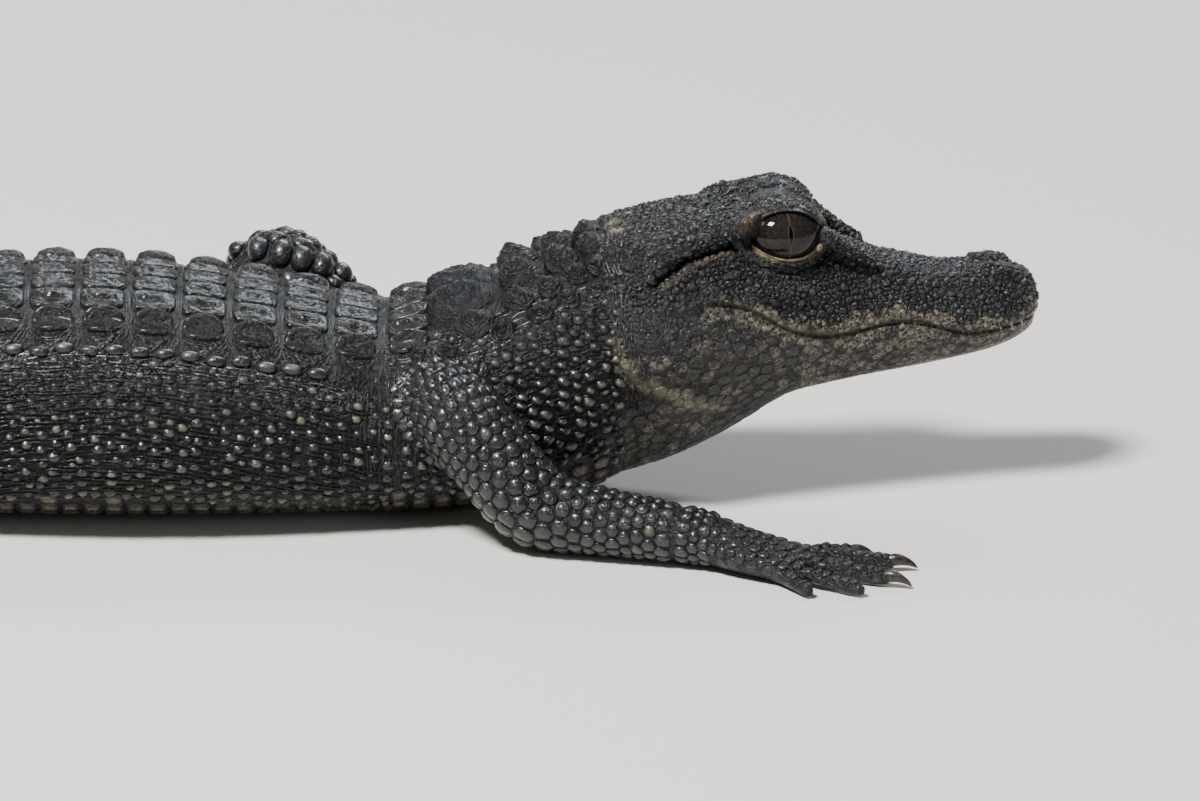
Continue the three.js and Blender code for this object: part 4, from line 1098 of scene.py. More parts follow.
def grow(group, around, steps, relief, seam=0.12, sink=0.3, slot="skin", others=12, rings=0.0):
    """Makes a group's scales: each spreads out as far as it can, then rises by its relief."""
    rows = np.array(groups[group])
    ids = rows[:, 0].astype(int)
    high, cream, shade, chart = rows[:, 1], rows[:, 2], rows[:, 3], rows[:, 4:6]
    at, up, fore, long, wide, _ = [np.array(laid[name]) for name in laid]
    side = np.cross(up, fore)
    turn = np.linspace(0, 2 * math.pi, around, endpoint=False)
    cos, sin = np.cos(turn), np.sin(turn)
    reach = spread(ids, cos, sin, seam, others)
    flat = (fore[ids][:, None] * cos[:, None] + side[ids][:, None] * sin[:, None]) * reach[..., None]
    rim = at[ids][:, None] + flat
    snapped = np.array([hide_tree.find_nearest(Vector(p))[0] for p in rim.reshape(-1, 3)]).reshape(rim.shape)
    drift = np.linalg.norm(snapped - rim, axis=-1, keepdims=True)
    bend = (snapped - rim) * np.minimum(1, 1.6 / np.maximum(drift, 1e-6))
    f = np.array(steps)[None, :, None]
    u = f * (reach * cos / long[ids, None])[:, None]
    v = f * (reach * sin / wide[ids, None])[:, None]
    rise, lean = relief(np.broadcast_to(f, u.shape), u, v, ids, high[:, None, None])
    rise = np.where(f >= 1, -sink, rise)
    shell = (at[ids][:, None, None] + flat[:, None] * f[..., None] + bend[:, None] * (f ** 2)[..., None]
             + up[ids][:, None, None] * rise[..., None] + fore[ids][:, None, None] * lean[..., None])
    zero = np.zeros((len(ids), 1, 1))
    tip_rise, tip_lean = relief(zero, zero, zero, ids, high[:, None, None])
    tips = at[ids] + up[ids] * tip_rise[:, 0] + fore[ids] * tip_lean[:, 0]
    count, deep = len(ids), len(steps)
    each = deep * around + 1
    co = np.concatenate((shell.reshape(count, -1, 3), tips[:, None]), axis=1).reshape(-1, 3)
    co[:, 2] = np.maximum(co[:, 2], SCALE_FLOOR_GAP)
    k = np.arange(around)
    nxt = (k + 1) % around
    quads = np.concatenate([
        np.stack((r * around + k, r * around + nxt, (r + 1) * around + nxt, (r + 1) * around + k), 1)
        for r in range(deep - 1)])
    caps = np.stack(((deep - 1) * around + k, (deep - 1) * around + nxt, np.full(around, each - 1)), 1)
    loops_one = np.concatenate((quads.ravel(), caps.ravel(), k[::-1]))
    sizes_one = np.concatenate((np.full(len(quads), 4), np.full(len(caps), 3), [around]))
    # painted shade: top falls to 0 at each scale's sunk rim, so the colour darkens there as if shade lay in
    # the seam; jaw skin is kept lighter
    top = np.concatenate((np.repeat(1 - np.array(steps), around), [1.0]))
    top = np.tile(np.clip(top * 2.6, 0.42 if slot == "jaw_skin" else 0, 1), count)
    middle = np.concatenate((np.repeat(np.array(steps), around), [0.0]))
    cream_top = np.clip((0.7 - np.tile(middle, count)) / 0.3, 0, 1)
    disc = np.stack((np.outer(steps, cos).ravel(), np.outer(steps, sin).ravel()), 1)
    patch = chart[:, None] + np.concatenate((disc, [(0, 0)]))[None] * CHART_PATCH
    ring = np.concatenate(((f * reach[:, None]).reshape(count, -1), np.zeros((count, 1))), axis=1) * rings
    piece_of_copies(group, co.reshape(count, each, 3), loops_one, sizes_one, patch, slot,
                    np.repeat(shade, each), top, np.repeat(cream, each) * cream_top, ring.ravel())


GLOSSY = ("oval_scutes", "flank_beads", "neck_beads", "elbow_domes", "limb_scales")
PAINTS = dict.fromkeys(GLOSSY, glossy_paint)
PAINTS["nape_shields"] = hide_paint


def piece_of_copies(name, co, loops_one, sizes_one, patch, slot, shade, top, cream, ring=0.0):
    """One mesh of many small closed shapes, all joined alike, with its colour numbers and its chart."""
    count, each = co.shape[:2]
    loops = (loops_one[None] + each * np.arange(count)[:, None]).ravel()
    sizes = np.tile(sizes_one, count)
    mesh = bpy.data.meshes.new(name)
    mesh.vertices.add(count * each)
    mesh.vertices.foreach_set("co", co.ravel())
    mesh.loops.add(len(loops))
    mesh.loops.foreach_set("vertex_index", loops)
    mesh.polygons.add(len(sizes))
    mesh.polygons.foreach_set("loop_start", np.concatenate(([0], np.cumsum(sizes)[:-1])))
    mesh.polygons.foreach_set("loop_total", sizes)
    mesh.update(calc_edges=True)
    mesh.validate()
    dress(mesh, shade, top, cream)
    rings = mesh.attributes.new("ring", "FLOAT", "POINT")
    rings.data.foreach_set("value", np.broadcast_to(ring, (count * each,)).astype(np.float32))
    bake = mesh.uv_layers.new(name="OFBake")
    bake.data.foreach_set("uv", patch.reshape(-1, 2)[loops].ravel())
    piece = bpy.data.objects.new(name, mesh)
    bpy.context.scene.collection.objects.link(piece)
    finish_piece(piece, slot, PAINTS.get(name, scale_paint))


def body_chart(s, angle):
    """The place on the chart for a place on the body."""
    s, angle = np.broadcast_arrays(s, angle)
    along = 0.02 + 0.96 * (s - TAIL_TIP) / (NECK_END - TAIL_TIP)
    return np.stack((along, 0.23 + 0.4 * angle / (2 * math.pi)), -1)


def angle_across(s, distance):
    """The turn round the body, from the top of the back, that lies so far across the surface."""
    turn = np.linspace(0, math.pi, 180)
    ring = on_body(np.full(len(turn), float(s)), turn)
    reached = np.concatenate(([0], np.cumsum(np.linalg.norm(np.diff(ring, axis=0), axis=1))))
    return np.interp(distance, reached, turn)


def forward_at(s):
    """The way forward along the midline at a station."""
    return midline(np.array([float(s)]))[1][0]


def on_back(group, s, across, side, long, wide, high, **more):
    """Lays scales at a station, so far across the surface from the spine."""
    across = np.atleast_1d(np.asarray(across, float))
    turn = angle_across(s, across) * side
    lay(group, on_body(s, turn), forward_at(s), long, wide, high, body_chart(s, turn), **more)


# from the spine outward: group, middle in plate widths, half length, half width in half plates, height,
# squareness
BACK_COLUMNS = [
    ("back_shields", 0.5, 4.75, 1.1, 1.4, 5),
    ("back_shields", 1.5, 4.7, 1.1, 1.6, 5),
    ("keeled_scutes", 2.53, 4.3, 0.92, 2.3, 2.8),
]
ROW_PITCH = 10
FIRST_ROW = 59.5
ROWS = 15
plate_width = through([(-95, 5), (-60, 6.6), (-20, 7.8), (30, 7.8), (60, 6.4)])
plates_each_side = through([(-95, 2), (-75, 2.6), (-50, 3), (60, 3)])
for row in range(ROWS):
    s = FIRST_ROW - row * ROW_PITCH
    wide = plate_width(s)
    for side in (LEFT, RIGHT):
        columns = BACK_COLUMNS[:int(round(float(plates_each_side(s))))]
        for group, middle, long, share, high, square in columns:
            on_back(group, s + random.normal(0, 0.12), wide * middle, side, long, wide / 2 * share, high,
                    square=square, crowd=0.3, shade=random.uniform(0.1, 0.6) * (group == "back_shields"))
        for half in (0.25, -0.25):
            if -58 < s < 48:
                on_back("oval_scutes", s + half * ROW_PITCH, wide * 3.62 + random.normal(0, 0.3), side,
                        2.3, 1.35, 1.4, crowd=0.5, cream=0.28 * (random.random() < 0.35),
                        shade=random.uniform(0.4, 1))


# The nape shields: high, rugged plates of bone under horn, in a cluster behind the head that stands apart
# from the rows of the back. Each stands on its own in the skin, in pairs left and right.
# station, distance from the spine, half length, half width, height
NAPE = [
    (69.5, 6, 8.2, 6.2, 4.6), (81.2, 5, 4.6, 5, 4.2), (72.5, 15.6, 4.4, 3.8, 3.2), (80.8, 14, 3.2, 3.4, 3),
    (89.6, 4.6, 4, 4.6, 4), (96.6, 4.2, 3, 4, 2.6), (86.6, 13.2, 2.5, 3.2, 2.9), (92, 11.2, 2.6, 3, 2.8),
    (97, 11, 2.2, 2.6, 2), (84.6, 19.2, 2.8, 2.2, 2.3), (90, 17.4, 2.5, 2.1, 2.1), (95.2, 16.2, 2.2, 2, 1.7),
    (77.6, 20, 2.6, 2.3, 2.2), (62, 20.6, 2.4, 2.2, 1.6), (67, 21.4, 2.4, 1.8, 1.4),
]
for s, across, long, wide, high in NAPE:
    for side in (LEFT, RIGHT):
        on_back("nape_shields", s, across, side, long, wide, high, square=2.7, crowd=0.4,
                shade=random.uniform(0.2, 0.7))


# The tail whorls: rings of oblong horny plates round the tail, one behind the other, with tall crest
# teeth swept back. The teeth stand in two rows that join into one about the middle of the tail.
WHORL = 7.9
CREST_JOINS = -232
crest_height = through([
    (-375, 1.8), (-340, 4.2), (-280, 6), (CREST_JOINS, 6), (-180, 4.4), (-130, 3), (-90, 2),
])
crest_spread = through([(CREST_JOINS, 0.22), (-190, 0.5), (-140, 0.66), (-90, 0.7)])
station = TAIL_ROOT - 8
while station > TAIL_TIP + 8:
    high = float(crest_height(station))
    thick = min(1.3 + high * 0.14, float(half_width(station)) * 0.8)
    for turn in (crest_spread(station), -crest_spread(station)) if station > CREST_JOINS else (0.0,):
        lay("tail_crest", on_body(station, turn), forward_at(station), WHORL * 0.5, thick, high,
            body_chart(station, float(turn)), square=3, crowd=0.2, shade=random.uniform(0.1, 0.5))
    ring = on_body(np.full(120, station), np.linspace(0, 2 * math.pi, 120))
    girth = np.linalg.norm(np.diff(ring, axis=0), axis=1).sum()
    plate_width_here = max(3.4, 5.2 - 1.8 * (TAIL_ROOT - station) / 300)
    plates = max(5, int(girth / plate_width_here))
    for side in (LEFT, RIGHT):
        across = (np.arange(plates / 2) + 0.5) * girth / plates
        width = girth / plates / 2
        on_back("tail_plates", station, across, side, WHORL * 0.5, width * 1.02,
                0.55 + 0.25 * (station > -250), square=4, crowd=0.52, cream=0.5 * (across > girth * 0.4))
    station -= WHORL


# The flank beads: small round horny scales that lie loose in the soft skin, in lengthwise rows. Many are
# tipped with cream, and those of the neck are larger.
def bead_rows(group, stations, across, long, wide, high, cream_share, tip=(0.15, 0.6), **more):
    """Lays rows of beads at stations and distances from the spine, every second row shifted."""
    for i, s in enumerate(stations):
        for side in (LEFT, RIGHT):
            shift = (i % 2) * (0.5 if s > 58 else 0.3) * np.diff(across)[0]
            places = across + random.normal(0, 0.28, len(across)) + shift
            tipped = (random.random(len(across)) < cream_share) * random.uniform(*tip, len(across))
            scatter = random.uniform(0.65, 1.12, len(across))
            turn = angle_across(s, places) * side
            where = s + random.normal(0, 0.45, len(across))
            lay(group, on_body(where, turn), forward_at(s), long * scatter, wide * scatter, high * scatter,
                body_chart(where, turn), cream=tipped, **more)


FLANK_ROWS = np.arange(31, 62, 2.95)
NECK_ROWS = np.arange(16.6, 54, 2.7)
bead_rows("flank_beads", np.arange(-84, 58, 2.85), FLANK_ROWS, 1.36, 1.0, 0.95, 0.3, crowd=0.6)
bead_rows("neck_beads", np.arange(60, 101, 2.6), NECK_ROWS, 1.6, 1.1, 1.1, 0.75, (0.08, 0.34), crowd=0.55)


# The belly plates: flat, square, cream horny plates in cross rows under the body, edge to edge.
BELLY_PITCH = 4.3
BELLY_TURNS = np.linspace(math.pi, 1.72, 9)
for s in np.arange(-80, 98, BELLY_PITCH):
    for side in (LEFT, RIGHT):
        turn = BELLY_TURNS * side
        lay("belly_plates", on_body(s, turn), (1, 0, 0), BELLY_PITCH / 2, 2.2, 0.4, body_chart(s, turn),
            square=4, crowd=0.66, cream=0.55)


# The limb scales: small rounded horny scales set close round each limb, largest over the elbow and knee,
# flat and lapped on the feet. The far elbow also has a few big smooth domes.
def along_limb(line):
    """A reader of places on a limb's skin and the way along it, and how far along its points lie."""
    reach, curves = measured(line)

    def at(t, turn):
        t = np.clip(t, 0, reach[-1])
        middle = np.stack([c(t) for c in curves[:3]], -1)
        along = np.stack([c(t + 0.5) - c(t - 0.5) for c in curves[:3]], -1)
        along /= np.linalg.norm(along, axis=-1, keepdims=True)
        across = np.cross((0, 0, 1), along)
        across /= np.linalg.norm(across, axis=-1, keepdims=True)
        over = np.cross(along, across)
        wide, deep = curves[3](t)[..., None], curves[4](t)[..., None]
        return middle + np.sin(turn)[..., None] * across * wide + np.cos(turn)[..., None] * over * deep, along

    return at, reach


# the far elbow's big smooth domes: place in the picture, half size along and across
ELBOW_DOMES_SEEN = [
    (233, 249, 2.2, 2.4), (255, 247, 2.4, 3.3), (278, 251, 2.4, 4.2), (299, 256, 2.3, 4.2),
    (320, 264, 2.4, 3.8), (340, 272, 2.2, 3.0), (228, 262, 1.3, 1.3), (243, 269, 1.4, 1.3),
]
DOME_CLEARANCE = 3.5
for px, py, long, wide in ELBOW_DOMES_SEEN:
    at = picked(px, py)
    if at is not None:
        lay("elbow_domes", at, (1, 0, -0.3), long, wide, 0.9 * long, (0.7, 0.66), square=2.3, crowd=0.1)
dome_places = np.array([laid["at"][int(row[0])] for row in groups["elbow_domes"]])
for k, (leg, (side, turn, line)) in enumerate(LEGS.items()):
    at, reach = along_limb(line)
    girth = through(np.stack((reach, [2 * math.pi * p[3] for p in line]), 1))
    pitch = through([
        (0, 1.95), (reach[2] * 0.7, 2.5), (reach[3] - 3, 3.5), (reach[3] + 14, 2.9), (reach[-1], 2.3),
    ])
    t = 5.0
    row = 0
    while t < reach[-1] + 2:
        apart = float(pitch(t))
        plates = int(girth(t) / (apart * 1.12))
        turns_round = (np.arange(plates) + 0.5 * (row % 2)) / plates * 2 * math.pi
        turns_round = turns_round + random.normal(0, 0.03, plates)
        outer = 0.5 + 0.5 * np.cos(turns_round - (0.5 if side == RIGHT else -0.5) * math.pi * 0.4)
        places, along = at(np.full(plates, t) + random.normal(0, 0.12, plates), turns_round)
        chart = np.stack((0.52 + 0.115 * k + 0.1 * turns_round / 7, np.full(plates, 0.48 + 0.4 * t / 90)), -1)
        free = np.linalg.norm(places[:, None] - dome_places, axis=-1).min(axis=1) > DOME_CLEARANCE
        places, along, chart, outer = places[free], along[free], chart[free], outer[free]
        high = apart * 0.24 * (0.7 + 0.4 * outer)
        cream = 0.3 * np.clip(0.3 - outer, 0, 1) + 0.3 * (random.random(len(places)) < 0.03)
        lay("limb_scales", places, along, apart * 0.74, apart * 0.8, high, chart, crowd=0.42, square=2.4,
            cream=cream)
        t += apart * 0.88
        row += 1
    forward = ahead_of(turn, side, 0)
    for toe, (root, way, long, radius, _) in enumerate(toe_lines[leg]):
        steps = np.arange(0.06, 0.98, 2.1 / long)
        places = root + np.outer(steps * long, way) + (0, 0, radius * 2.4)
        chart = np.stack((0.53 + 0.115 * k + 0.018 * toe + 0 * steps, 0.9 + 0.08 * steps), -1)
        lay("foot_scales", places, way, 1.15, radius * 0.95, 0.5, chart, square=3, crowd=0.4, reach=4)
    length, _, thick = PALMS[leg[:4]]
    sideways = ahead_of(turn, side, 90)
    ankle = np.array(line[-1][:3]) * (1, 1, 0)
    for i, ahead_by in enumerate(np.arange(0, length + 3, 2.2)):
        across = (np.arange(-3, 4) + 0.5 * (i % 2)) * 2.7
        places = ankle + forward * ahead_by + np.outer(across, sideways) + (0, 0, thick * 0.9)
        chart = np.stack((0.56 + 0.115 * k + across * 0.002, np.full(7, 0.88 + ahead_by * 0.001)), -1)
        lay("foot_scales", places, forward, 1.3, 1.45, 0.5, chart, square=2.4, crowd=0.6, reach=4)


# The creases: long fine folds of the soft skin between the scales. They run down the grooves between the
# rows, sweep back below the keeled plates, lie lengthwise between the beads of the flank, and stand
# upright before the shoulder and behind the skull.
TRUNK = np.arange(-96, 110, 2.0)
TRUNK_ACROSS = np.arange(0, 80, 1.0)
CREASE_POINTS = 12
FOLD_SINK = 0.2


def trunk_turn(s, across):
    """The turn round the trunk at stations s that lies so far across the surface, read from a grid."""
    i = np.clip((s - TRUNK[0]) / 2, 0, len(TRUNK) - 1.001)
    j = np.clip(across, 0, len(TRUNK_ACROSS) - 1.001)
    low_i, low_j = i.astype(int), j.astype(int)
    i, j = i - low_i, j - low_j
    before = trunk_turns[low_i, low_j] * (1 - j) + trunk_turns[low_i, low_j + 1] * j
    after = trunk_turns[low_i + 1, low_j] * (1 - j) + trunk_turns[low_i + 1, low_j + 1] * j
    return before * (1 - i) + after * i


trunk_turns = np.array([angle_across(s, TRUNK_ACROSS) for s in TRUNK])
folds = {"s": [], "across": [], "side": [], "wide": [], "high": []}


def fold(s, across, wide, high):
    """A crease through stations and distances from the spine, on both sides."""
    share = np.linspace(0, 1, CREASE_POINTS)
    for side in (LEFT, RIGHT):
        wander = np.sin(share * random.uniform(3, 9) + random.uniform(0, 6)) * 0.16
        for name, value in zip(folds, (s(share) + wander, across(share) + wander, side, wide, high)):
            folds[name].append(value)


def between(a, b, bend=1.0):
    """A run from a to b."""
    return lambda share: a + (b - a) * share ** bend


for row in range(ROWS + 1):
    groove = FIRST_ROW - (row - 0.5) * ROW_PITCH
    wide = float(plate_width(groove))
    plates = wide * min(3, float(plates_each_side(groove)))
    for off in (-0.3, 0, 0.3):
        fold(between(groove + off, groove + off * 1.4), between(0.2, plates), 0.22, 0.36)
    for fan in np.linspace(-1, 1, 9):
        start = plates - 5.5 * (1 - abs(fan))
        swept = between(groove + 0.7 * fan, groove - 7 + 5.6 * fan, 1.5)
        fold(swept, between(start, 31 + fan), 0.27, 0.42)
    for hug in (0.6, 1.3, 2.1):
        fold(between(groove - 9 + hug, groove - 1 - hug),
             lambda share, hug=hug: plates + hug + 1.1 * np.sin(math.pi * share), 0.24, 0.36)
flank_pitch = FLANK_ROWS[1] - FLANK_ROWS[0]
for between_rows in np.arange(FLANK_ROWS[0] - 1.5, FLANK_ROWS[-1] + 2, flank_pitch / 3):
    s = -90 + random.uniform(0, 4)
    in_row = abs((between_rows - FLANK_ROWS[0]) / flank_pitch % 1 - 0.5)
    while s < 47:
        long = random.uniform(6, 11)
        place = between_rows + random.normal(0, 0.12)
        fold(between(s, s + long), between(place, place + random.normal(0, 0.35)),
             0.3 - 0.08 * (in_row > 0.4), 0.5 if in_row < 0.4 else 0.25)
        s += long * 0.93
for s in np.arange(46.5, 62, 0.85):
    place = 19 + random.uniform(0, 3)
    while place < 58:
        long = random.uniform(5, 9)
        fold(between(s, s + random.normal(0, 0.5)), between(place, place + long), 0.26, 0.42)
        place += long * 0.95
neck_pitch = NECK_ROWS[1] - NECK_ROWS[0]
for between_rows in np.arange(NECK_ROWS[0] - 1.3, NECK_ROWS[-1] + 1, neck_pitch / 2):
    s = 61 + random.uniform(0, 3)
    while s < 98:
        long = random.uniform(4, 7)
        fold(between(s, s + long), between(between_rows, between_rows - 0.9), 0.24, 0.34)
        s += long * 0.95
for s in np.arange(98.3, 103.5, 0.8):
    for place in np.arange(0.3, 30, 7):
        fold(between(s, s + random.normal(0, 0.3)), between(place, place + 7.4), 0.3, 0.5)


def raise_folds(name):
    """Makes the creases: low ridges of three sides laid along the hide, thin at both ends."""
    s, across = np.array(folds["s"]), np.array(folds["across"])
    side, wide, high = [np.array(folds[key])[:, None] for key in ("side", "wide", "high")]
    turn = trunk_turn(s, across) * side
    hits = [hide_tree.find_nearest(Vector(p)) for p in on_body(s, turn).reshape(-1, 3)]
    middle = np.array([hit[0] for hit in hits]).reshape(*s.shape, 3)
    up = hide_normals[[hide_faces[hit[2]][0] for hit in hits]].reshape(*s.shape, 3)
    along = np.gradient(middle, axis=1)
    along /= np.linalg.norm(along, axis=2, keepdims=True) + 1e-9
    over = np.cross(up, along)
    thin = np.clip(1 - np.linspace(-1, 1, CREASE_POINTS) ** 4, 0.04, 1) * random.uniform(0.75, 1.15, s.shape)
    reach = over * (wide * thin)[..., None]
    ridge = middle + up * (high * thin)[..., None]
    rings = np.stack((middle + reach - up * FOLD_SINK, ridge, middle - reach - up * FOLD_SINK), 2)
    rings[..., 2] = np.maximum(rings[..., 2], SCALE_FLOOR_GAP)
    here = np.arange(3)
    beside = (here + 1) % 3
    quads = np.concatenate([
        3 * i + np.stack((here, beside, 3 + beside, 3 + here), 1) for i in range(CREASE_POINTS - 1)])
    last = 3 * CREASE_POINTS - 1
    loops = np.concatenate((quads.ravel(), (0, 2, 1), (last - 2, last - 1, last)))
    sizes = np.concatenate((np.full(len(quads), 4), (3, 3)))
    chart = body_chart(s.mean(axis=1), turn.mean(axis=1))
    patch = np.stack(np.meshgrid(np.linspace(0, 0.003, CREASE_POINTS), (0, 0.001, 0.002), indexing="ij"), -1)
    # painted shade: the two feet of each crease get a low top and are darker than its ridge
    top = np.tile((0.1, 1, 0.1), CREASE_POINTS)
    patch = chart[:, None] + patch.reshape(1, -1, 2)
    piece_of_copies(name, rings.reshape(len(s), -1, 3), loops, sizes, patch, "skin", 0.3,
                    np.tile(top, len(s)), 0.0)


# The head scales: thin horny scales grown fast to the skin over the bone. They are wrinkled lumps on
# skull and snout, tiny domes on the lids, and broad and flat on jowl and lips.
three = np.array([face[:3] for face in hide_faces])
centres = hide_points[three].mean(axis=1)
areas = np.linalg.norm(np.cross(hide_points[three[:, 1]] - hide_points[three[:, 0]],
                                hide_points[three[:, 2]] - hide_points[three[:, 0]]), axis=1)
head_faces = np.flatnonzero(to_head(centres)[:, 0] > -4)


def scattered(pool, count):
    """Places at random on some of the hide's faces, as many on each as its area asks."""
    weight = areas[pool] / areas[pool].sum()
    return centres[random.choice(pool, count, p=weight)] + random.normal(0, 0.2, (count, 3))


def head_chart(local):
    """The place on the chart for a place on the head."""
    turn = np.arctan2(local[:, 1], local[:, 2] + 4)
    return np.stack((0.02 + 0.45 * (local[:, 0] + 10) / 96, 0.72 + 0.5 * turn / (2 * math.pi)), 1)


def on_face(group, where, half, high, tries, long=1.15, **more):
    """Scatters scales over the part of the head that a test picks out."""
    places = scattered(head_faces, tries)
    local = to_head(places)
    places, local = places[where(local)], local[where(local)]
    size = half * random.uniform(0.85, 1.15, len(places))
    fore = np.array(head_place.to_3x3() @ Vector((1, 0, 0)))
    fore = fore + random.normal(0, 0.22, (len(places), 3))
    lay(group, places, fore, size * long, size / long, high * size / half, head_chart(local), **more)


def eye_ring(local):
    """How far out from the eye's middle a place lies, in openings; far off where it lies behind the eye."""
    ahead, rise, out = eye_frame(local)
    return np.where(out > -1.5, np.hypot(ahead / OPENING[0], rise / OPENING[1]), 9)


def open_eye(local):
    return eye_ring(local) > 1.34


def over_mouth(local, low, high):
    """Places whose height over the mouth line is between low and high."""
    gap = local[:, 2] - mouth_line(local[:, 0])
    return (gap > low) & (gap < high)


def on_jowl(p):
    return (p[:, 0] < 34) & over_mouth(p, -40, -2.2)


def on_lower_jaw(p):
    return (p[:, 0] >= 34) & over_mouth(p, -40, -1.2)


def on_lips(p):
    return over_mouth(p, -2.4, 3.0) & ~over_mouth(p, -0.7, 0.7)


def on_lids(p):
    return ~open_eye(p) & (eye_ring(p) > 1.13)


def on_table(p):
    return (p[:, 0] < 30) & (p[:, 2] > 5) & open_eye(p)


def on_snout(p):
    return over_mouth(p, 2.4, 60) & open_eye(p) & (p[:, 0] > 28)


def on_brow(p):
    return (p[:, 2] > 2) & (eye_ring(p) > 1.2) & (eye_ring(p) < 2.6)


def on_upper_head(p):
    return over_mouth(p, 2.2, 60) & open_eye(p)


on_face("jowl_scales", on_jowl, half=1.6, high=0.07, tries=5000, long=1.1, crowd=0.6, square=2.6)
on_face("jowl_scales", on_lower_jaw, half=1.05, high=0.06, tries=6000, crowd=0.6)
on_face("lip_scales", on_lips, half=0.75, high=0.08, tries=9000, long=1.1, crowd=0.62)
on_face("lid_scales", on_lids, half=0.5, high=0.26, tries=16000, long=1.3, crowd=0.58)
# the skull table's scales run lengthwise in all sizes, the snout's are rounder
for half, high, tries in ((1.5, 0.6, 400), (1.05, 0.46, 1500), (0.62, 0.3, 12000)):
    on_face("skull_scales", on_table, half, high, tries, long=1.5, crowd=0.56)
for half, high, tries in ((1.05, 0.44, 1500), (0.8, 0.36, 4500), (0.5, 0.25, 15000)):
    on_face("snout_scales", on_snout, half, high, tries, long=1.12, crowd=0.58)
on_face("skull_scales", on_brow, half=0.7, high=0.36, tries=14000, long=1.3, crowd=0.5)
on_face("skull_scales", on_upper_head, half=0.66, high=0.3, tries=9000, long=1.4, crowd=0.58)


# The granules: the finest scales, tiny domes strewn over the soft skin. They fill what is left between
# the larger scales on neck, limbs and tail.
on_trunk = (centres[:, 0] > -88) & (centres[:, 0] < 98) & (np.abs(centres[:, 1]) < 38) & (centres[:, 2] > 5)
for _, _, line in LEGS.values():
    on_trunk &= away_from(centres, np.array([p[:3] for p in line], float))[0] > 11
body_faces = np.flatnonzero((to_head(centres)[:, 0] < -1) & ~on_trunk)
places = scattered(body_faces, 22000)
chart = body_chart(np.clip(places[:, 0], TAIL_TIP, NECK_END), 0.0)
lay("granules", places, (1, 0, 0), 0.78, 0.62, 0.34, chart, crowd=0.66,
    cream=0.5 * (random.random(len(places)) < 0.07))

scale_tree = KDTree(len(laid["at"]))
for i, p in enumerate(laid["at"]):
    scale_tree.insert(p, i)
scale_tree.balance()


# The reliefs: how each kind of scale rises over its own plan. A relief gives the height and the lean
# forward at a share f of the way to the edge, and at u forward and v sideways as shares of the half
# sizes.
def waves(ids, u, v, count=4, fine=9.0):
    """A little unevenness, different on every scale."""
    total = 0 * u
    for k in range(count):
        a = np.sin(ids * 12.9898 + k * 78.233) * 43758.5453
        b = np.sin(ids * 39.346 + k * 11.135) * 24634.6345
        a, b = ((a % 1) * 2 * math.pi)[:, None, None], ((b % 1) * 2 * math.pi)[:, None, None]
        total = total + np.sin((u * np.cos(a) + v * np.sin(a)) * fine * (0.5 + 0.25 * k) + b)
    return total / count


def dome(f, u, v, ids, high):
    return high * np.sqrt(np.clip(1 - f * f, 0, 1)), 0 * f


def flat_plate(f, u, v, ids, high):
    """A flat plate with a rounded edge."""
    return high * np.clip((1 - f) / 0.2, 0, 1) ** 0.6, 0 * f


def lapped(f, u, v, ids, high):
    """A low scale that rises to its front edge and laps over the next."""
    return high * (1 - f ** 3) ** 0.6 * (0.75 + 0.3 * u), 0.15 * high * np.clip(u, 0, 1)


def shield(f, u, v, ids, high):
    """A low square plate with a winding keel, wrinkled and ringed."""
    edge = np.clip((1 - f) / 0.1, 0, 1) ** 0.6
    crown = np.clip(1 - np.abs(u) ** 2.4, 0, 1) * np.clip(1 - 0.75 * np.abs(v) ** 3, 0, 1)
    winding = v + 0.12 * waves(ids, u, 0 * v, 2, 5.0)
    keel = np.exp(-(winding / 0.2) ** 2) * np.clip(1 - ((u + 0.2) / 0.9) ** 2, 0, 1)
    lumps = 0.5 + 0.5 * waves(ids, u, v, 3, 13.0)
    rough = 0.2 * waves(ids, u, v, 4, 15.0) + 0.11 * np.cos(f * 19 + 3.5 * waves(ids, u, v, 3, 4.0))
    ridge = keel * (high - 0.9) * (0.6 + 0.6 * lumps)
    return edge * (0.6 + 0.25 * crown + ridge + rough * (1 - f ** 6)), 0 * f


def keeled(f, u, v, ids, high):
    """An oblong plate with a plain keel that leans back."""
    edge = np.clip((1 - f) / 0.2, 0, 1) ** 0.7
    keel = np.exp(-(v / 0.3) ** 2) * np.clip(1 - ((u + 0.25) / 1.1) ** 2, 0, 1) ** 0.8
    rings = 0.05 * np.cos(f * 2 * math.pi * 5) + 0.06 * waves(ids, u, v, 4, 14.0)
    return edge * (0.25 * high + keel * high * 0.75 + rings), -0.1 * high * keel


def towards_spine(v, ids):
    """The way sideways, turned about so that it leads to the spine on both sides of the animal."""
    return v * -np.sign(np.array(laid["at"])[ids][:, 1])[:, None, None]


def outer_keel(f, u, v, ids, high):
    """A shed roof: a gentle slope up to a ledge, and below the ledge a deep, smooth, almond-shaped hollow."""
    w = towards_spine(v, ids)
    edge = np.clip((1 - f) / 0.14, 0, 1) ** 0.6
    along = np.clip(1 - np.abs(u) ** 2.6, 0, 1)
    bow = 0.42 - 0.42 * u * u + 0.04 * waves(ids, u, 0 * v, 2, 5.0)
    roof = np.exp(-((w - bow) / 0.5) ** 2)
    steep = 0.06 + 0.94 * np.exp(-((w - bow) / 0.17) ** 2) + 0.3 * np.clip((-w - 0.45) / 0.5, 0, 1)
    rough = 0.12 * waves(ids, u, v, 4, 15.0) * np.where(w > bow - 0.1, 1.0, 0.25)
    return edge * (0.25 + high * np.where(w > bow, roof, steep) * (0.35 + 0.65 * along) + rough), 0 * f


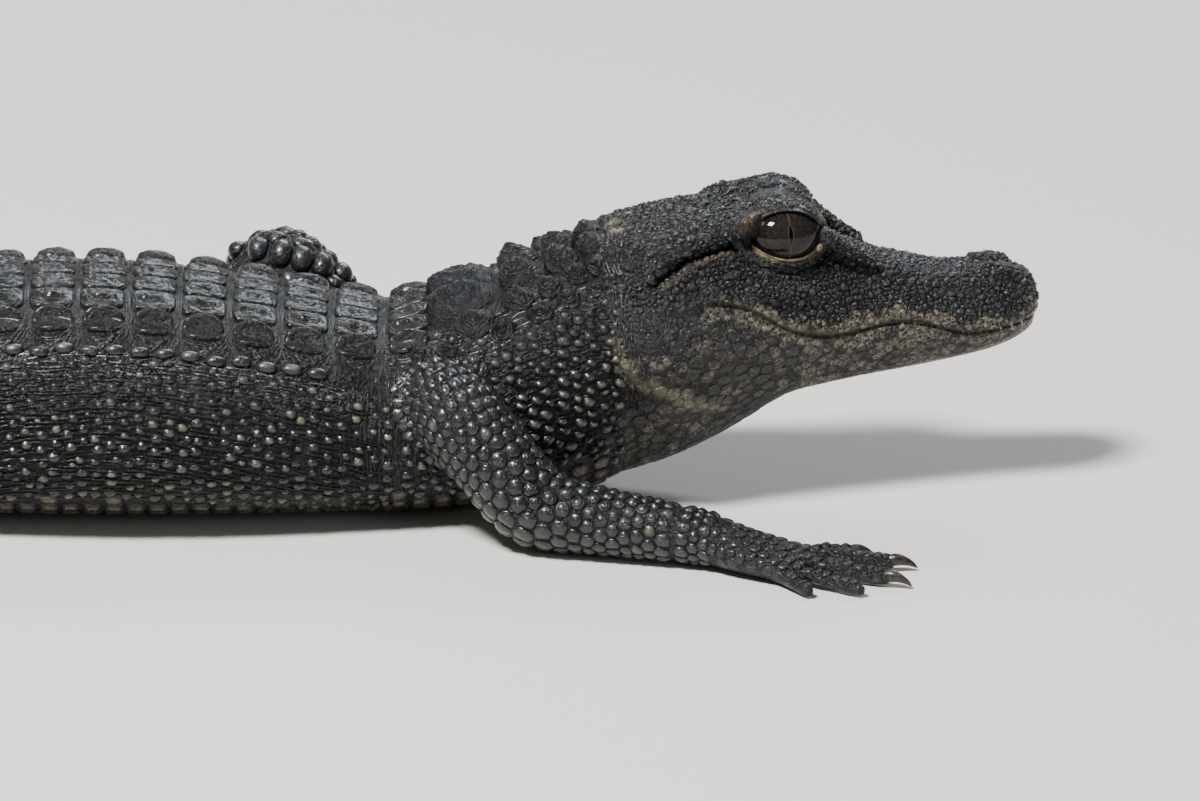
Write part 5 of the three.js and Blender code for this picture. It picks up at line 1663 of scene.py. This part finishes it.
def rugged(f, u, v, ids, high):
    """A high shield with a broad crown, its keel nearer the spine over a steep side, wrinkled all over."""
    w = towards_spine(v, ids)
    edge = np.clip((1 - f) / 0.13, 0, 1) ** 0.6
    crown = np.clip(1 - f ** 2.2, 0, 1)
    bow = 0.1 - 0.2 * u * u
    keel = np.where(w > bow, np.exp(-((w - bow) / 0.6) ** 2), np.exp(-((w - bow) / 0.36) ** 2))
    keel = keel * np.clip(1 - (np.abs(u + 0.14) / 1.02) ** 2.6, 0, 1)
    lumps = waves(ids, u, v, 3, 9.0)
    bigger = (np.array(laid["long"])[ids] / 3.6)[:, None, None]
    rough = 0.5 * (0.4 - np.abs(waves(ids, u * bigger, v * bigger, 4, 13.0)))
    rough = rough + 0.14 * np.cos(f * 19 * bigger + 4 * waves(ids, u, v, 3, 4.0))
    return edge * (0.2 + high * (0.3 * crown + (0.62 + 0.14 * lumps) * keel) + rough), -0.14 * high * keel


def nub(f, u, v, ids, high):
    """A low mound that draws up to a rounded tip, leaning back."""
    mound = np.sqrt(np.clip(1 - f * f, 0, 1))
    tip = np.exp(-(f / 0.45) ** 2)
    return high * (0.45 * mound + 0.5 * tip), -0.25 * high * tip


def round_scale(f, u, v, ids, high):
    """A low, close-set scale with a raised button in its middle."""
    mound = np.clip(1 - f ** 3.5, 0, 1) ** 0.6
    return high * (0.8 * mound + 0.45 * np.exp(-(f / 0.42) ** 2)), -0.1 * high * (1 - f)


def craggy(f, u, v, ids, high):
    """An uneven, wrinkled lump."""
    mound = np.sqrt(np.clip(1 - f * f, 0, 1))
    wrinkles = 0.16 * waves(ids, u, v, 3, 13.0) * (f < 1)
    return high * (mound * (1 + 0.45 * waves(ids, u, v, 3, 7.0)) + wrinkles), 0 * f


def crest(f, u, v, ids, high):
    """A tall tooth, swept back."""
    blade = np.clip(1 - f ** 1.6, 0, 1) * np.clip(0.95 - 0.5 * u, 0.2, 1.2)
    return high * blade, -high * 0.35 * (1 - f) ** 0.8


# the rings of points on a scale, from its edge inward
BIG = (1.0, 0.965, 0.92, 0.86, 0.79, 0.71, 0.63, 0.54, 0.45, 0.36, 0.27, 0.18, 0.09)
MIDDLE = (1.0, 0.95, 0.84, 0.66, 0.42, 0.18)
SMALL = (1.0, 0.93, 0.74, 0.4)
TINY = (1.0, 0.9, 0.55)
grow("back_shields", 40, BIG, shield, 0.04, others=22, rings=1.0)
grow("keeled_scutes", 40, BIG, outer_keel, 0.08, others=22)
grow("nape_shields", 40, BIG, rugged, 0.15, others=22, rings=1.0)
grow("oval_scutes", 18, MIDDLE, dome, 0.2)
grow("tail_crest", 18, MIDDLE, crest, 0.1)
grow("tail_plates", 16, MIDDLE, keeled, 0.22, rings=0.6)
grow("flank_beads", 10, SMALL, nub)
grow("neck_beads", 10, SMALL, nub)
grow("belly_plates", 12, SMALL, flat_plate)
grow("elbow_domes", 24, MIDDLE, dome, -1.0)
grow("limb_scales", 12, SMALL, round_scale, 0.04, rings=1.2)
grow("foot_scales", 12, SMALL, lapped, 0.04)
grow("jowl_scales", 10, SMALL, flat_plate, 0.06, slot="jaw_skin")
grow("lip_scales", 8, TINY, flat_plate, slot="jaw_skin")
grow("skull_scales", 12, SMALL, craggy)
grow("snout_scales", 10, SMALL, craggy)
grow("lid_scales", 8, TINY, dome)
grow("granules", 8, TINY, dome)
raise_folds("creases")


# The eyes: wet balls set in the lids, dark brown-grey with faint streaks round an upright slit. Each is
# one ball with a smooth clear surface, painted by a pattern laid flat over its front.
IRIS_DARK = (0.006, 0.005, 0.0045)
IRIS_BROWN = (0.025, 0.0205, 0.0175)
PUPIL_BLACK = (0.0003, 0.0003, 0.0003)
SLIT_RIM = (0.07, 0.06, 0.05)
PATTERN_WIDTH = 20.0
SLIT_HALF_HEIGHT = 2.3
SLIT_HALF_WIDTH = 0.42
eye_paint, tree, skin = new_paint("eye")
skin.inputs["Roughness"].default_value = 0.04
skin.inputs["Specular IOR Level"].default_value = 0.25
pattern = tree.nodes.new("ShaderNodeUVMap")
pattern.uv_map = "Iris"
split = tree.nodes.new("ShaderNodeSeparateXYZ")
tree.links.new(pattern.outputs["UV"], split.inputs[0])
from_centre = [maths(tree, "SUBTRACT", split.outputs[axis], 0.5) for axis in "XY"]
across, upward = [maths(tree, "MULTIPLY", way, PATTERN_WIDTH) for way in from_centre]
squares = [maths(tree, "MULTIPLY", way, way) for way in (across, upward)]
from_middle = maths(tree, "SQRT", maths(tree, "ADD", *squares))
around_it = maths(tree, "ARCTAN2", upward, across)
# the slit: a narrow pointed oval
tall = maths(tree, "DIVIDE", upward, SLIT_HALF_HEIGHT)
narrowing = maths(tree, "SUBTRACT", 1.0, maths(tree, "MULTIPLY", tall, tall))
bulge = maths(tree, "MULTIPLY", maths(tree, "MAXIMUM", narrowing, 0.0), SLIT_HALF_WIDTH)
slit = maths(tree, "SUBTRACT", maths(tree, "ABSOLUTE", across), bulge)
slit = maths(tree, "ADD", maths(tree, "MULTIPLY", slit, 2.0), 0.5)
streak_place = tree.nodes.new("ShaderNodeCombineXYZ")
tree.links.new(maths(tree, "MULTIPLY", around_it, 9.0), streak_place.inputs[0])
tree.links.new(maths(tree, "MULTIPLY", from_middle, 0.8), streak_place.inputs[1])
streaks = noise(tree, streak_place.outputs[0], 1.4, 5)
iris = ramp(tree, streaks, (0.35, IRIS_DARK), (0.65, IRIS_BROWN))
shading = ramp(tree, maths(tree, "DIVIDE", from_middle, 8.0),
               (0.0, 1), (0.55, (0.8, 0.78, 0.76)), (0.85, (0.16, 0.14, 0.13)))
iris = mix(tree, 1.0, iris, shading, "MULTIPLY")
iris = mix(tree, ramp(tree, slit, (0.5, 0), (0.6, 1), (0.8, 0)), iris, SLIT_RIM)
iris = mix(tree, ramp(tree, slit, (0.42, 0), (0.56, 1)), PUPIL_BLACK, iris)
tree.links.new(iris, skin.inputs["Base Color"])

for side, name in ((LEFT, "eye_left"), (RIGHT, "eye_right")):
    flip = (1, -side, 1)
    ball = bmesh.new()
    bmesh.ops.create_uvsphere(ball, u_segments=64, v_segments=40, radius=1)
    bmesh.ops.scale(ball, vec=EYEBALL, verts=ball.verts)
    looks = ball.loops.layers.uv.new("Iris")
    for face in ball.faces:
        for loop in face.loops:
            loop[looks].uv = (0.5 + loop.vert.co.x / PATTERN_WIDTH, 0.5 + loop.vert.co.y / PATTERN_WIDTH)
    turned = Matrix((eye_ahead * flip, eye_up * flip, EYE_LOOK * flip)).transposed().to_4x4()
    set_in = head_place @ Matrix.Translation(RIGHT_EYE * flip) @ turned
    bmesh.ops.transform(ball, matrix=set_in, verts=ball.verts)
    ball = piece_from(ball, name + "_ball")
    finish_piece(ball, "eye", eye_paint)
    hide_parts(name)


# The teeth: a few pointed tips, pale ivory, that stand in the jaw and show over the lip near the end of
# the snout. Those of the left side mirror the right ones.
IVORY = (0.25, 0.22, 0.17)
teeth_paint, tree, skin = new_paint("tooth")
feed(tree, skin.inputs["Base Color"], IVORY)
skin.inputs["Roughness"].default_value = 0.25
# place in the picture and height of the tip
TEETH_SEEN = [(1000, 328, 0.9), (1011, 325, 1.2), (1021, 321, 0.9)]
TOOTH_ROOT = 0.8
teeth = bmesh.new()
for px, py, tall in TEETH_SEEN:
    root = seen_at([(px, py)])[0]
    for side in (LEFT, RIGHT):
        cone = bmesh.ops.create_cone(
            teeth, cap_ends=True, segments=12, radius1=0.55, radius2=0.12, depth=tall + TOOTH_ROOT)
        tooth = cone["verts"]
        bmesh.ops.translate(teeth, vec=(root[0], -side * root[1] * 0.97, root[2] + 0.1), verts=tooth)
        bmesh.ops.transform(teeth, matrix=head_place, verts=tooth)
teeth = piece_from(teeth, "teeth")
finish_piece(teeth, "skin", teeth_paint)


# The claws: dark horn, curved down to a blunt point, on the three inner toes of every foot. Each is a
# sheath that grows over the last bone of its toe.
HORN_BLACK = (0.008, 0.007, 0.006)
HORN_BROWN = (0.05, 0.042, 0.034)
CLAW_ROOT = 1.2
# share of the claw's length, height and thickness in toe radii
CLAW_FORM = [(0, 0.95, 0.5), (0.3, 1.05, 0.52), (0.6, 0.9, 0.36), (0.85, 0.6, 0.2), (1, 0.3, 0.05)]
claw_paint, tree, skin = new_paint("claw")
skin.inputs["Roughness"].default_value = 0.35
place = tree.nodes.new("ShaderNodeTexCoord").outputs["Object"]
horn = ramp(tree, noise(tree, place, 900), (0.35, HORN_BLACK), (0.7, HORN_BROWN))
tree.links.new(horn, skin.inputs["Base Color"])
claws = bmesh.new()
for toes in toe_lines.values():
    for root, way, long, radius, claw in toes:
        if not claw:
            continue
        tip = root + way * (long - CLAW_ROOT)
        line = []
        for share, high, wide in CLAW_FORM:
            spot = tip + way * (claw + CLAW_ROOT) * share + (0, 0, radius * high)
            line.append((*spot, radius * wide, radius * wide * 1.1))
        limb(claws, line, around=12, spacing=0.35)
claws = piece_from(claws, "claws")
finish_piece(claws, "claw", claw_paint)
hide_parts(*[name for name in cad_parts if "claw" in name])
